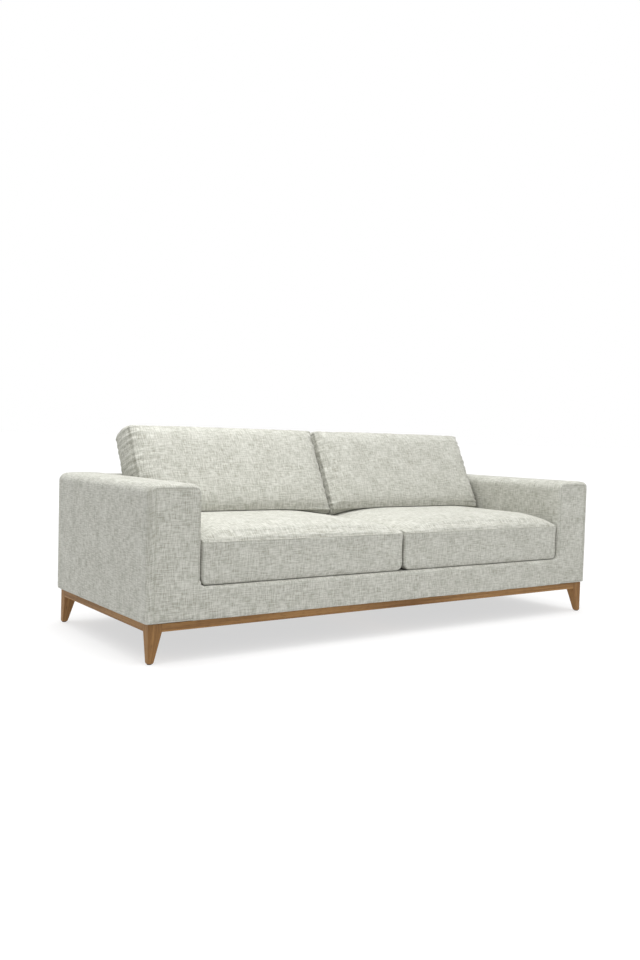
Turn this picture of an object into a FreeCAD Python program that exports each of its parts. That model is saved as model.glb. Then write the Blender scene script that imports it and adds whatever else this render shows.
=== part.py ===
import FreeCAD, Part
import math
import os
import re

import Sketcher
from FreeCAD import Placement, Rotation, Vector

# A three-seat sofa on a timber base. Millimetres, X to the sofa's left-right, the front faces -Y, Z up.
# The origin is on the floor, under the middle of the sofa's width and depth.

SIZES = [
    ("body_width", 2200, "width over both arms"),
    ("body_depth", 850, "front border to outer back"),
    ("arm_height", 597, "floor to the arm tops and to the top of the back frame"),
    ("arm_width", 198, "width of one arm"),
    ("edge_radius", 28, "rounding of the padded edges of arms and back"),
    ("cloth", 2, "thickness of a cover with its backing"),
    ("base_inset", 14, "how far the timber base stands in under the body"),
    ("leg_height", 106, "floor to the underside of the base rails"),
    ("base_rail_height", 28, "height of the base rails"),
    ("base_rail_thickness", 22, "thickness of the base rails"),
    ("leg_head_width", 50, "leg at the rails, along the front"),
    ("leg_head_depth", 42, "leg at the rails, along the side"),
    ("leg_foot", 21, "side of the square foot of a leg"),
    ("glide_radius", 8, "nail-on glide"),
    ("glide_thickness", 3, "nail-on glide"),
    ("cross_rail_width", 60, "middle rail of the base"),
    ("block_reach", 90, "how far a corner block runs along a rail past the leg"),
    ("bolt_inset_x", 74, "corner bolt from the side of the base"),
    ("bolt_inset_y", 52, "corner bolt from the front or back of the base"),
    ("middle_bolt_inset", 45, "middle bolts, in from the rear rail of the seat frame"),
    ("bolt_radius", 4, "shank of the bolts that hold the body on the base"),
    ("bolt_clearance", 0.2, "gap round a bolt in its hole"),
    ("bolt_head_radius", 8, "flanged head"),
    ("bolt_head_height", 5, "flanged head"),
    ("bolt_length", 44, "under the head"),
    ("dust_cloth", 1, "dust cover under the body"),
    ("dust_margin", 30, "dust cover, in from the edge of the body"),
    ("board", 18, "plywood of the arm frames"),
    ("hardboard", 5, "skins of the arms and of the outer back"),
    ("arm_pad", 20, "padding on the arms"),
    ("front_pad", 20, "padding on the front border"),
    ("back_pad", 22, "padding on the inner back"),
    ("deck_height", 250, "floor to the deck under the seat cushions"),
    ("deck_foam_thickness", 20, "foam over the springs"),
    ("deck_return", 50, "how far the front border's cover turns in over the deck"),
    ("front_edge_radius", 12, "rounding of the front border's top edge"),
    ("seat_rail_thickness", 28, "rails of the seat frame"),
    ("spring_space", 7.4, "rail top to the underside of the deck foam"),
    ("spring_count", 12, "sinuous springs, front to back"),
    ("spring_wire_radius", 1.9, "spring wire"),
    ("spring_width", 50, "straight run of a spring's zigzag"),
    ("spring_turns", 18, "half turns from front to back, an even number"),
    ("clip_wall", 1, "sheet of a spring clip"),
    ("clip_length", 16, "length and depth of a spring clip"),
    ("clip_gap", 0.2, "gap round the wire in its clip"),
    ("centre_rail_width", 44, "middle rail of the seat frame"),
    ("centre_rail_drop", 36, "how far the middle rail stays below the springs"),
    ("back_thickness", 146, "back frame at its top"),
    ("back_lean", 15, "lean of the inner back, degrees"),
    ("top_rail_height", 40, "top rail of the back frame"),
    ("post_thickness", 28, "posts of the back frame"),
    ("webbing_thickness", 2, "straps of the inner back"),
    ("webbing_width", 48, "straps of the inner back"),
    ("webbing_pitch", 68, "from one strap to the next"),
    ("webbing_count", 4, "straps of the inner back"),
    ("cushion_gap", 3, "between two cushions side by side"),
    ("rest_gap", 0.4, "between a cushion and what it rests on"),
    ("seat_side_gap", 2, "seat cushion to arm, and to the foot of the inner back"),
    ("seat_setback", 10, "seat cushion, in from the front border"),
    ("seat_boxing", 150, "height of the seat cushion's side strip"),
    ("seat_crown", 50, "rise of the seat cushion above its top seam"),
    ("seat_crown_run", 150, "width over which the seat cushion rises"),
    ("seat_corner", 45, "corner of the seat cushion seen from above"),
    ("seat_bottom_edge", 25, "rounding round the bottom of the seat cushion"),
    ("back_side_gap", 15, "back cushion to arm"),
    ("back_boxing", 115, "thickness of the back cushion at its side strip"),
    ("back_cushion_lean", 27, "lean of the back cushion, degrees"),
    ("back_cushion_rise", 390, "front seam, from the seat cushion up along the lean"),
    ("back_cushion_foot", 157, "front seam at the seat, forward of the inner back"),
    ("back_tuck", 60, "length of cushion that the seat takes up, along the lean"),
    ("back_front_crown", 38, "bulge of the back cushion's front"),
    ("back_rear_crown", 22, "bulge of the back cushion's rear"),
    ("back_corner", 38, "corner of the back cushion's face"),
    ("filling_gap", 0.3, "between a cushion's filling and its cover"),
    ("zip_length", 600, "zip tape"),
    ("zip_width", 10, "zip tape"),
    ("zip_depth", 1.2, "zip tape let into the cover"),
]
SIZE_NAMES = {name for name, _, _ in SIZES}

# Places that several pieces share, as expressions in the sizes.
BASE_X = "(body_width / 2 - base_inset)"
BASE_Y = "(body_depth / 2 - base_inset)"
BASE_TOP = "(leg_height + base_rail_height)"
BODY_BOTTOM = f"({BASE_TOP} + dust_cloth)"
INNER_X = "(body_width / 2 - arm_width)"
ARM_X = "(body_width / 2 - arm_width / 2)"
FRAME_X = "(arm_width / 2 - cloth - arm_pad)"
FRAME_Y = "(body_depth / 2 - cloth - arm_pad)"
FRAME_TOP = "(arm_height - cloth - arm_pad)"
RAIL_TOP = "(deck_height - cloth - deck_foam_thickness - spring_space)"
RAIL_FRONT = "(-body_depth / 2 + cloth + front_pad)"
BORDER_BACK = "(-body_depth / 2 + deck_return)"
CLIP_HEIGHT = "(2 * clip_wall + 2 * clip_gap + 2 * spring_wire_radius)"
SEAT_WIDTH = f"({INNER_X} - seat_side_gap - cushion_gap / 2)"
SEAT_BOTTOM = "(deck_height + rest_gap)"
SEAT_TOP = f"({SEAT_BOTTOM} + seat_boxing + seat_crown)"
SEAT_FRONT = "(-body_depth / 2 + seat_setback)"
BACK_WIDTH = f"({INNER_X} - back_side_gap - cushion_gap / 2)"


def inner_back(height, depth="0"):
    """Y of the inner back's surface at a height, or of a layer at a depth under that surface."""
    surface = f"body_depth / 2 - back_thickness - (arm_height - ({height})) * tan(back_lean * 1 deg)"
    return f"({surface} + ({depth}) / cos(back_lean * 1 deg))"


SEAT_REAR = f"({inner_back('deck_height')} - seat_side_gap)"
SEAT_DEPTH = f"({SEAT_REAR} - {SEAT_FRONT})"
POST_FRONT = inner_back("deck_height", "cloth + back_pad + webbing_thickness")
SEAT_FRAME_FRONT = f"({RAIL_FRONT} + seat_rail_thickness)"
SEAT_FRAME_REAR = f"({POST_FRONT} - seat_rail_thickness)"
BACK_FLOOR = f"({SEAT_TOP} + rest_gap)"
BACK_FOOT = f"({inner_back(BACK_FLOOR)} - back_cushion_foot)"
BOLT_HOLE = "bolt_radius + bolt_clearance"
BOLT_X = f"({BASE_X} - bolt_inset_x)"
BOLT_Y = f"({BASE_Y} - bolt_inset_y)"
MIDDLE_BOLT_Y = f"({SEAT_FRAME_REAR} - middle_bolt_inset)"
CORNER_BOLTS = [(f"{side} {BOLT_X}", f"{end} {BOLT_Y}") for side in ("-", "") for end in ("-", "")]
MIDDLE_BOLTS = [("0", f"{end} {MIDDLE_BOLT_Y}") for end in ("-", "")]

doc = FreeCAD.newDocument("sofa")
sheet = doc.addObject("Spreadsheet::Sheet", "Sizes")
for row, (name, number, note) in enumerate(SIZES, start=1):
    sheet.set(f"A{row}", name)
    sheet.set(f"B{row}", str(number))
    sheet.setAlias(f"B{row}", name)
    sheet.set(f"C{row}", note)
doc.recompute()

pieces = {}


def in_sheet(expression):
    """The expression with each size named as a cell of the sheet."""
    return re.sub(
        r"[a-z][a-z_]*",
        lambda word: f"Sizes.{word[0]}" if word[0] in SIZE_NAMES else word[0],
        expression,
    )


def value(expression):
    """The number that an expression in the sizes gives."""
    number = sheet.evalExpression(in_sheet(expression))
    return float(getattr(number, "Value", number))


def bind(thing, prop, expression):
    """Tie one property of an object to an expression in the sizes."""
    thing.setExpression(prop, in_sheet(expression))


def place(thing, x="0", y="0", z="0"):
    """Put an object where three expressions say."""
    for axis, expression in zip("xyz", (x, y, z)):
        bind(thing, f"Placement.Base.{axis}", expression)


def piece(thing, name):
    """Call a finished object by its own name and keep it as one of the sofa's pieces."""
    thing.Label = name
    pieces[name] = thing
    return thing


def block(name, x, y, z):
    """A box between a low and a high expression along each axis."""
    box = doc.addObject("Part::Box", name)
    for prop, (low, high) in zip(("Length", "Width", "Height"), (x, y, z)):
        bind(box, prop, f"({high}) - ({low})")
    place(box, x[0], y[0], z[0])
    return box


def cut(name, base, tool):
    """One object with another taken out of it."""
    result = doc.addObject("Part::Cut", name)
    result.Base = base
    result.Tool = tool
    return result


def pin_point(sketch, geometry, point, x, y):
    """Hold one point of a sketch at two expressions, measured from the sketch's origin."""
    for kind, expression in (("DistanceX", x), ("DistanceY", y)):
        rule = Sketcher.Constraint(kind, -1, 1, geometry, point, value(expression))
        index = sketch.addConstraint(rule)
        label = f"{kind}{index}"
        sketch.renameConstraint(index, label)
        bind(sketch, f"Constraints.{label}", expression)


def pin_radius(sketch, geometry, radius):
    """Hold the radius of an arc or circle at an expression."""
    index = sketch.addConstraint(Sketcher.Constraint("Radius", geometry, value(radius)))
    label = f"Radius{index}"
    sketch.renameConstraint(index, label)
    bind(sketch, f"Constraints.{label}", radius)


def arc_between(start, end, radius):
    """The short anticlockwise arc of a radius from one point to another."""
    middle = (start + end) * 0.5
    chord = end - start
    side = Vector(-chord.y, chord.x, 0).normalize()
    rise = math.sqrt(max(radius**2 - chord.Length**2 / 4, 0))
    centre = middle + side * rise
    first = math.atan2(start.y - centre.y, start.x - centre.x)
    last = math.atan2(end.y - centre.y, end.x - centre.x)
    if last < first:
        last += 2 * math.pi
    return Part.ArcOfCircle(Part.Circle(centre, Vector(0, 0, 1), radius), first, last)


def draw_loop(sketch, corners):
    """A closed loop. A corner is (x, y), or (x, y, radius) where an anticlockwise arc leads on."""
    points = [Vector(value(corner[0]), value(corner[1]), 0) for corner in corners]
    first = sketch.GeometryCount
    count = len(corners)
    for index, corner in enumerate(corners):
        start, end = points[index], points[(index + 1) % count]
        if len(corner) == 3:
            sketch.addGeometry(arc_between(start, end, value(corner[2])))
        else:
            sketch.addGeometry(Part.LineSegment(start, end))
    for index in range(count):
        follower = first + (index + 1) % count
        sketch.addConstraint(Sketcher.Constraint("Coincident", first + index, 2, follower, 1))
    for index, corner in enumerate(corners):
        pin_point(sketch, first + index, 1, corner[0], corner[1])
        if len(corner) == 3:
            pin_radius(sketch, first + index, corner[2])


def draw_circle(sketch, x, y, radius):
    """A circle round a point."""
    centre = Vector(value(x), value(y), 0)
    geometry = sketch.addGeometry(Part.Circle(centre, Vector(0, 0, 1), value(radius)))
    pin_point(sketch, geometry, 3, x, y)
    pin_radius(sketch, geometry, radius)


def new_sketch(body, plane, height=None):
    """A sketch on one of a body's own planes, raised by an expression where one is given."""
    sketch = body.newObject("Sketcher::SketchObject", f"{body.Name}_sketch")
    sketch.AttachmentSupport = (
        next(feature for feature in body.Origin.OriginFeatures if feature.Role == plane),
        "",
    )
    sketch.MapMode = "FlatFace"
    if height:
        bind(sketch, "AttachmentOffset.Base.z", height)
    return sketch


def pad(body, sketch, length, both_ways=False, downwards=False):
    """Pad a sketch by a length, half to each side where it goes both ways."""
    feature = body.newObject("PartDesign::Pad", f"{body.Name}_pad")
    feature.Profile = sketch
    if both_ways:
        feature.SideType = "Symmetric"
    feature.Reversed = downwards
    bind(feature, "Length", length)
    return feature


def prism(name, plane, loops, length, circles=(), both_ways=True):
    """A body padded from closed loops and round holes on one plane."""
    body = doc.addObject("PartDesign::Body", name)
    sketch = new_sketch(body, plane)
    for corners in loops:
        draw_loop(sketch, corners)
    for x, y, radius in circles:
        draw_circle(sketch, x, y, radius)
    pad(body, sketch, length, both_ways)
    return body


def round_edges(body, radius, chosen):
    """Fillet the edges of a body's shape that a test picks."""
    doc.recompute()
    edges = [
        f"Edge{index}"
        for index, edge in enumerate(body.Tip.Shape.Edges, start=1)
        if chosen(edge.BoundBox)
    ]
    fillet = body.newObject("PartDesign::Fillet", f"{body.Name}_fillet")
    fillet.Base = (body.Group[-2], edges)
    bind(fillet, "Radius", radius)
    return fillet


# Timber base ---------------------------------------------------------------------------------

SIDES = (("left", -1), ("right", 1))
ENDS = (("front", -1), ("back", 1))


def base_rails():
    """Four rails that butt against the legs, flush with the legs' outer faces, and a middle rail."""
    rail_x = f"({BASE_X} - leg_head_width)"
    rail_y = f"({BASE_Y} - leg_head_depth)"
    height = ("leg_height", BASE_TOP)
    inner = "base_rail_thickness"
    for name, end in ENDS:
        low = f"-{BASE_Y}" if end < 0 else f"{BASE_Y} - {inner}"
        high = f"-{BASE_Y} + {inner}" if end < 0 else BASE_Y
        piece(block(f"base_{name}", (f"-{rail_x}", rail_x), (low, high), height), f"base_rail_{name}")
    for name, side in SIDES:
        low = f"-{BASE_X}" if side < 0 else f"{BASE_X} - {inner}"
        high = f"-{BASE_X} + {inner}" if side < 0 else BASE_X
        piece(block(f"base_{name}", (low, high), (f"-{rail_y}", rail_y), height), f"base_rail_{name}")
    half = "cross_rail_width / 2"
    run = f"({BASE_Y} - {inner})"
    outline = [(f"-{half}", f"-{run}"), (half, f"-{run}"), (half, run), (f"-{half}", run)]
    holes = [(x, y, BOLT_HOLE) for x, y in MIDDLE_BOLTS]
    rail = prism("base_cross", "XY_Plane", [outline], "base_rail_height", holes, both_ways=False)
    place(rail, z="leg_height")
    piece(rail, "base_cross_rail")


def leg(side, end):
    """A leg whose outer faces are upright and whose inner faces taper to the foot."""
    body = doc.addObject("PartDesign::Body", "leg")
    sections = (
        ("glide_thickness", "leg_foot", "leg_foot"),
        ("leg_height", "leg_head_width", "leg_head_depth"),
    )
    sketches = []
    for height, width, depth in sections:
        sketch = new_sketch(body, "XY_Plane", height)
        in_x = f"{-side} * ({width})"
        in_y = f"{-end} * ({depth})"
        draw_loop(sketch, [("0", "0"), (in_x, "0"), (in_x, in_y), ("0", in_y)])
        sketches.append(sketch)
    loft = body.newObject("PartDesign::AdditiveLoft", "taper")
    loft.Profile = sketches[0]
    loft.Sections = [sketches[1]]
    loft.Ruled = True
    pad(body, sketches[1], "base_rail_height")
    place(body, f"{side} * {BASE_X}", f"{end} * {BASE_Y}")
    return body


def legs_and_glides():
    """Four legs, and a glide under each foot."""
    glides = doc.addObject("PartDesign::Body", "glides")
    sketch = new_sketch(glides, "XY_Plane")
    for end_name, end in ENDS:
        for side_name, side in SIDES:
            piece(leg(side, end), f"leg_{end_name}_{side_name}")
            middle_x = f"{side} * ({BASE_X} - leg_foot / 2)"
            middle_y = f"{end} * ({BASE_Y} - leg_foot / 2)"
            draw_circle(sketch, middle_x, middle_y, "glide_radius")
    pad(glides, sketch, "glide_thickness")
    piece(glides, "foot_glides")


def corner_blocks():
    """Glued blocks in the base's corners, each cut round its leg and bored for a bolt."""
    loops = []
    for side in ("-", ""):
        for end in ("-", ""):
            near_x = f"{side} ({BASE_X} - base_rail_thickness)"
            near_y = f"{end} ({BASE_Y} - base_rail_thickness)"
            leg_x = f"{side} ({BASE_X} - leg_head_width)"
            leg_y = f"{end} ({BASE_Y} - leg_head_depth)"
            far_x = f"{side} ({BASE_X} - leg_head_width - block_reach)"
            far_y = f"{end} ({BASE_Y} - leg_head_depth - block_reach)"
            loops.append([(leg_x, near_y), (far_x, near_y), (near_x, far_y), (near_x, leg_y), (leg_x, leg_y)])
    holes = [(x, y, BOLT_HOLE) for x, y in CORNER_BOLTS]
    body = prism("blocks", "XY_Plane", loops, "base_rail_height", holes, both_ways=False)
    place(body, z="leg_height")
    piece(body, "base_corner_blocks")


def base_bolts():
    """Flanged bolts that come up through the base into the arms and the middle rail."""
    body = doc.addObject("PartDesign::Body", "bolts")
    for radius, length, downwards in (
        ("bolt_radius", "bolt_length", False),
        ("bolt_head_radius", "bolt_head_height", True),
    ):
        sketch = new_sketch(body, "XY_Plane")
        for x, y in CORNER_BOLTS + MIDDLE_BOLTS:
            draw_circle(sketch, x, y, radius)
        pad(body, sketch, length, downwards=downwards)
    place(body, z="leg_height")
    piece(body, "base_bolts")


def dust_cover():
    """The cloth between the body and the base."""
    x = "(body_width / 2 - dust_margin)"
    y = "(body_depth / 2 - dust_margin)"
    outline = [(f"-{x}", f"-{y}"), (x, f"-{y}"), (x, y), (f"-{x}", y)]
    holes = [(bolt_x, bolt_y, BOLT_HOLE) for bolt_x, bolt_y in CORNER_BOLTS + MIDDLE_BOLTS]
    body = prism("dust", "XY_Plane", [outline], "dust_cloth", holes, both_ways=False)
    place(body, z=BASE_TOP)
    piece(body, "dust_cover")


# Arms ----------------------------------------------------------------------------------------


def arm_form(side, inset):
    """The arm's rounded form, sunk by an inset. Only the edges that meet the seat stay square."""
    x = f"(arm_width / 2 - ({inset}))"
    y = f"(body_depth / 2 - ({inset}))"
    outline = [(f"-{x}", f"-{y}"), (x, f"-{y}"), (x, y), (f"-{x}", y)]
    height = f"arm_height - ({inset}) - {BODY_BOTTOM}"
    body = prism("arm_form", "XY_Plane", [outline], height, both_ways=False)
    top = value(height)
    outer = side * value(x)

    def rounded(box):
        upright = box.ZLength > top / 2
        at_outer = abs(box.Center.x - outer) < 1
        return box.ZMin > top / 2 or (upright and at_outer)

    round_edges(body, f"edge_radius - ({inset})", rounded)
    place(body, f"{side} * {ARM_X}", "0", BODY_BOTTOM)
    return body


def arm(name, side):
    """One arm: a plywood and hardboard box, its padding and its cover."""
    middle = f"{side} * {ARM_X}"
    wide = (f"{middle} - {FRAME_X}", f"{middle} + {FRAME_X}")
    long = (f"-({FRAME_Y} - board)", f"{FRAME_Y} - board")
    full_height = (BODY_BOTTOM, FRAME_TOP)
    skin_height = (f"{BODY_BOTTOM} + board", f"{FRAME_TOP} - board")
    front = block("arm_front", wide, (f"-{FRAME_Y}", f"-({FRAME_Y} - board)"), full_height)
    piece(front, f"arm_front_panel_{name}")
    rear = block("arm_rear", wide, (f"{FRAME_Y} - board", FRAME_Y), full_height)
    piece(rear, f"arm_rear_panel_{name}")
    top = block("arm_top", wide, long, (f"{FRAME_TOP} - board", FRAME_TOP))
    piece(top, f"arm_top_board_{name}")
    low_skin = (f"{middle} - {FRAME_X}", f"{middle} - {FRAME_X} + hardboard")
    high_skin = (f"{middle} + {FRAME_X} - hardboard", f"{middle} + {FRAME_X}")
    inner, outer = (low_skin, high_skin) if side > 0 else (high_skin, low_skin)
    piece(block("arm_inner", inner, long, skin_height), f"arm_inner_board_{name}")
    piece(block("arm_outer", outer, long, skin_height), f"arm_outer_board_{name}")

    x, y = FRAME_X, f"({FRAME_Y} - board)"
    outline = [(f"-{x}", f"-{y}"), (x, f"-{y}"), (x, y), (f"-{x}", y)]
    bolt_x = f"{side} * ({BOLT_X} - {ARM_X})"
    holes = [(bolt_x, f"{end} {BOLT_Y}", BOLT_HOLE) for end in ("-", "")]
    bottom = prism("arm_bottom", "XY_Plane", [outline], "board", holes, both_ways=False)
    place(bottom, middle, "0", BODY_BOTTOM)
    piece(bottom, f"arm_bottom_board_{name}")

    space = block("arm_space", wide, (f"-{FRAME_Y}", FRAME_Y), full_height)
    under_cover = arm_form(side, "cloth")
    piece(cut("arm_padding", under_cover, space), f"arm_padding_{name}")
    piece(cut("arm_cover", arm_form(side, "0"), under_cover), f"arm_cover_{name}")


# Seat frame, springs and deck ----------------------------------------------------------------


def seat_frame():
    """The seat box between the arms, with a low middle rail under the springs."""
    height = (BODY_BOTTOM, RAIL_TOP)
    across = (f"-{INNER_X}", INNER_X)
    front, rear = SEAT_FRAME_FRONT, SEAT_FRAME_REAR
    piece(block("seat_front", across, (RAIL_FRONT, front), height), "seat_rail_front")
    piece(block("seat_back", across, (rear, POST_FRONT), height), "seat_rail_back")
    for name, side in SIDES:
        low = f"-{INNER_X}" if side < 0 else f"{INNER_X} - seat_rail_thickness"
        high = f"-{INNER_X} + seat_rail_thickness" if side < 0 else INNER_X
        rail = block("seat_side", (low, high), (front, rear), height)
        piece(rail, f"seat_rail_{name}")
    half = "centre_rail_width / 2"
    outline = [(f"-{half}", front), (half, front), (half, rear), (f"-{half}", rear)]
    holes = [(x, y, BOLT_HOLE) for x, y in MIDDLE_BOLTS]
    depth = f"{RAIL_TOP} - centre_rail_drop - {BODY_BOTTOM}"
    rail = prism("seat_centre", "XY_Plane", [outline], depth, holes, both_ways=False)
    place(rail, z=BODY_BOTTOM)
    piece(rail, "seat_centre_rail")


SPRING_FRONT = f"({RAIL_FRONT} + seat_rail_thickness / 2)"
SPRING_BACK = f"({POST_FRONT} - seat_rail_thickness / 2)"
SPRING_PITCH = f"(2 * {INNER_X} / spring_count)"
SPRING_Z = f"({RAIL_TOP} + clip_wall + clip_gap + spring_wire_radius)"


def springs():
    """Sinuous springs: one zigzag wire of straight runs and half circles, repeated across the seat."""
    front, back = value(SPRING_FRONT), value(SPRING_BACK)
    turns = int(value("spring_turns"))
    turn_radius = (back - front) / turns / 2
    half_run = value("spring_width") / 2 - turn_radius
    edges = []
    for index in range(turns + 1):
        direction = 1 if index % 2 == 0 else -1
        y = front + 2 * turn_radius * index
        start = Vector(-direction * half_run, y, 0)
        end = Vector(direction * half_run, y, 0)
        edges.append(Part.LineSegment(start, end).toShape())
        if index < turns:
            bulge = end + Vector(direction * turn_radius, turn_radius, 0)
            edges.append(Part.Arc(end, bulge, end + Vector(0, 2 * turn_radius, 0)).toShape())
    start = Vector(-half_run, front, 0)
    section = Part.Wire(Part.makeCircle(value("spring_wire_radius"), start, Vector(1, 0, 0)))
    spring = Part.Wire(edges).makePipeShell([section], True, False)
    count = int(value("spring_count"))
    pitch = value(SPRING_PITCH)
    copies = []
    for index in range(count):
        copy = spring.copy()
        copy.translate(Vector((index - (count - 1) / 2) * pitch, 0, 0))
        copies.append(copy)
    feature = doc.addObject("Part::Feature", "springs")
    feature.Shape = Part.makeCompound(copies)
    place(feature, z=SPRING_Z)
    piece(feature, "seat_springs")


def spring_clips():
    """Open sheet clips that hold both ends of every spring on the rails."""
    wall, gap, reach = "clip_wall", "clip_gap", "clip_length / 2"
    hollow = "(spring_wire_radius + clip_gap)"
    profile = [
        (-1, f"{hollow} + {wall}", "0"),
        (1, reach, "0"),
        (1, reach, wall),
        (-1, hollow, wall),
        (-1, hollow, f"{CLIP_HEIGHT} - {wall}"),
        (1, reach, f"{CLIP_HEIGHT} - {wall}"),
        (1, reach, CLIP_HEIGHT),
        (-1, f"{hollow} + {wall}", CLIP_HEIGHT),
    ]
    loops = []
    for centre, inwards in ((SPRING_FRONT, 1), (SPRING_BACK, -1)):
        loops.append([(f"{centre} + {sign * inwards} * ({y})", z) for sign, y, z in profile])
    body = prism("clips", "YZ_Plane", loops, "clip_length")
    doc.recompute()
    pattern = body.newObject("PartDesign::LinearPattern", "clip_row")
    pattern.Originals = [body.Tip]
    pattern.Direction = (
        next(feature for feature in body.Origin.OriginFeatures if feature.Role == "X_Axis"),
        [""],
    )
    bind(pattern, "Length", f"{SPRING_PITCH} * (spring_count - 1)")
    bind(pattern, "Occurrences", "spring_count")
    body.Tip = pattern
    place(body, f"-{SPRING_PITCH} * (spring_count - 1) / 2", "0", RAIL_TOP)
    piece(body, "spring_clips")


def deck():
    """Foam and lining cloth over the springs, from the front border to the foot of the back."""
    across = (f"-{INNER_X}", INNER_X)
    deep = (BORDER_BACK, POST_FRONT)
    foam = ("deck_height - cloth - deck_foam_thickness", "deck_height - cloth")
    piece(block("deck_pad", across, deep, foam), "deck_foam")
    piece(block("deck_lining", across, deep, ("deck_height - cloth", "deck_height")), "deck_cloth")


def border_form(inset):
    """The front border's section under an inset, with its top front edge rounded."""
    front = f"(-body_depth / 2 + ({inset}))"
    top = f"(deck_height - ({inset}))"
    radius = f"(front_edge_radius - ({inset}))"
    outline = [
        (front, BODY_BOTTOM),
        (BORDER_BACK, BODY_BOTTOM),
        (BORDER_BACK, top),
        (f"{front} + {radius}", top, radius),
        (front, f"{top} - {radius}"),
    ]
    return prism("border_form", "YZ_Plane", [outline], f"2 * {INNER_X}")


def front_border():
    """Padding and cover of the front, between the arms and flush with them."""
    rail_top = "(deck_height - cloth - deck_foam_thickness)"
    across = (f"-{INNER_X}", INNER_X)
    under_cover = border_form("cloth")
    space = block("border_space", across, (RAIL_FRONT, BORDER_BACK), (BODY_BOTTOM, rail_top))
    piece(cut("border_padding", under_cover, space), "front_border_padding")
    piece(cut("border_cover", border_form("0"), under_cover), "front_border_cover")


# Back ----------------------------------------------------------------------------------------


def back_form(rear, under, radius=None):
    """The back above the deck, sunk by a rear depth and by a depth under its top and inner face."""
    rear_y = f"(body_depth / 2 - ({rear}))"
    top = f"(arm_height - ({under}))"
    outline = [
        (rear_y, "deck_height"),
        (rear_y, top),
        (inner_back(top, under), top),
        (inner_back("deck_height", under), "deck_height"),
    ]
    body = prism("back_form", "YZ_Plane", [outline], f"2 * {INNER_X}")
    if radius:
        height = value(top)
        round_edges(body, radius, lambda box: box.ZMin > height - 1 and box.XLength > height)
    return body


def back_upholstery():
    """Cover, padding and outer skins of the back."""
    across = (f"-{INNER_X}", INNER_X)
    rear = "body_depth / 2"
    panel_top = "arm_height - edge_radius"
    outer_cover = block("back_outer", across, (f"{rear} - cloth", rear), (BODY_BOTTOM, panel_top))
    piece(outer_cover, "back_outer_cover")
    skin = (f"{rear} - cloth - hardboard", f"{rear} - cloth")
    outer_board = block("back_skin", across, skin, (BODY_BOTTOM, panel_top))
    piece(outer_board, "back_outer_board")
    under_cover = back_form("cloth", "cloth", "edge_radius - cloth")
    shell = cut("back_shell", back_form("0", "0", "edge_radius"), under_cover)
    piece(cut("back_cover", shell, outer_cover), "back_inner_cover")
    frame_space = back_form("cloth + hardboard", "cloth + back_pad")
    layer = cut("back_layer", under_cover, frame_space)
    piece(cut("back_padding", layer, outer_board), "back_padding")


def back_frame():
    """Top rail, three leaning posts and the straps across them."""
    rear = "(body_depth / 2 - cloth - hardboard)"
    top = "(arm_height - cloth - back_pad)"
    rail_bottom = f"({top} - top_rail_height)"
    under = "(cloth + back_pad)"
    rail_front = inner_back(top, under)
    across = (f"-{INNER_X}", INNER_X)
    piece(block("back_rail", across, (rail_front, rear), (rail_bottom, top)), "back_top_rail")

    face = "(cloth + back_pad + webbing_thickness)"
    outline = [
        (POST_FRONT, BODY_BOTTOM),
        (rear, BODY_BOTTOM),
        (rear, rail_bottom),
        (inner_back(rail_bottom, face), rail_bottom),
        (POST_FRONT, "deck_height"),
    ]
    posts = doc.addObject("Part::Compound", "posts")
    links = []
    for position in (-1, 0, 1):
        post = prism("post", "YZ_Plane", [outline], "post_thickness")
        place(post, f"{position} * ({INNER_X} - post_thickness / 2)")
        links.append(post)
    posts.Links = links
    piece(posts, "back_posts")

    loops = []
    for index in range(int(value("webbing_count"))):
        low = f"({rail_bottom} - webbing_width - {index} * webbing_pitch - webbing_thickness)"
        high = f"({low} + webbing_width)"
        loops.append(
            [
                (inner_back(low, under), low),
                (inner_back(low, face), low),
                (inner_back(high, face), high),
                (inner_back(high, under), high),
            ]
        )
    piece(prism("straps", "YZ_Plane", loops, f"2 * {INNER_X}"), "back_webbing")


# Cushions ------------------------------------------------------------------------------------


def seat_section(across, inset):
    """Upright section of a seat cushion: rounded below, and crowned above its top seam."""
    x = f"({across} / 2 - ({inset}))"
    bottom = f"({inset})"
    low_edge = f"(seat_bottom_edge - ({inset}))"
    seam = "seat_boxing"
    top = f"(seat_boxing + seat_crown - ({inset}))"
    rise = f"(seat_crown - ({inset}))"
    bend = f"(seat_crown_run^2 + {rise}^2) / (2 * {rise})"
    return [
        (f"-{x}", f"{bottom} + {low_edge}", low_edge),
        (f"-{x} + {low_edge}", bottom),
        (f"{x} - {low_edge}", bottom, low_edge),
        (x, f"{bottom} + {low_edge}"),
        (x, seam, bend),
        (f"{x} - seat_crown_run", top),
        (f"-{x} + seat_crown_run", top, bend),
        (f"-{x}", seam),
    ]


def rounded_rectangle(x, low, high, radius):
    """A loop between -x and x, and a low and a high, with round corners."""
    return [
        (f"-{x} + {radius}", low),
        (f"{x} - {radius}", low, radius),
        (x, f"{low} + {radius}"),
        (x, f"{high} - {radius}", radius),
        (f"{x} - {radius}", high),
        (f"-{x} + {radius}", high, radius),
        (f"-{x}", f"{high} - {radius}"),
        (f"-{x}", f"{low} + {radius}", radius),
    ]


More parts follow.
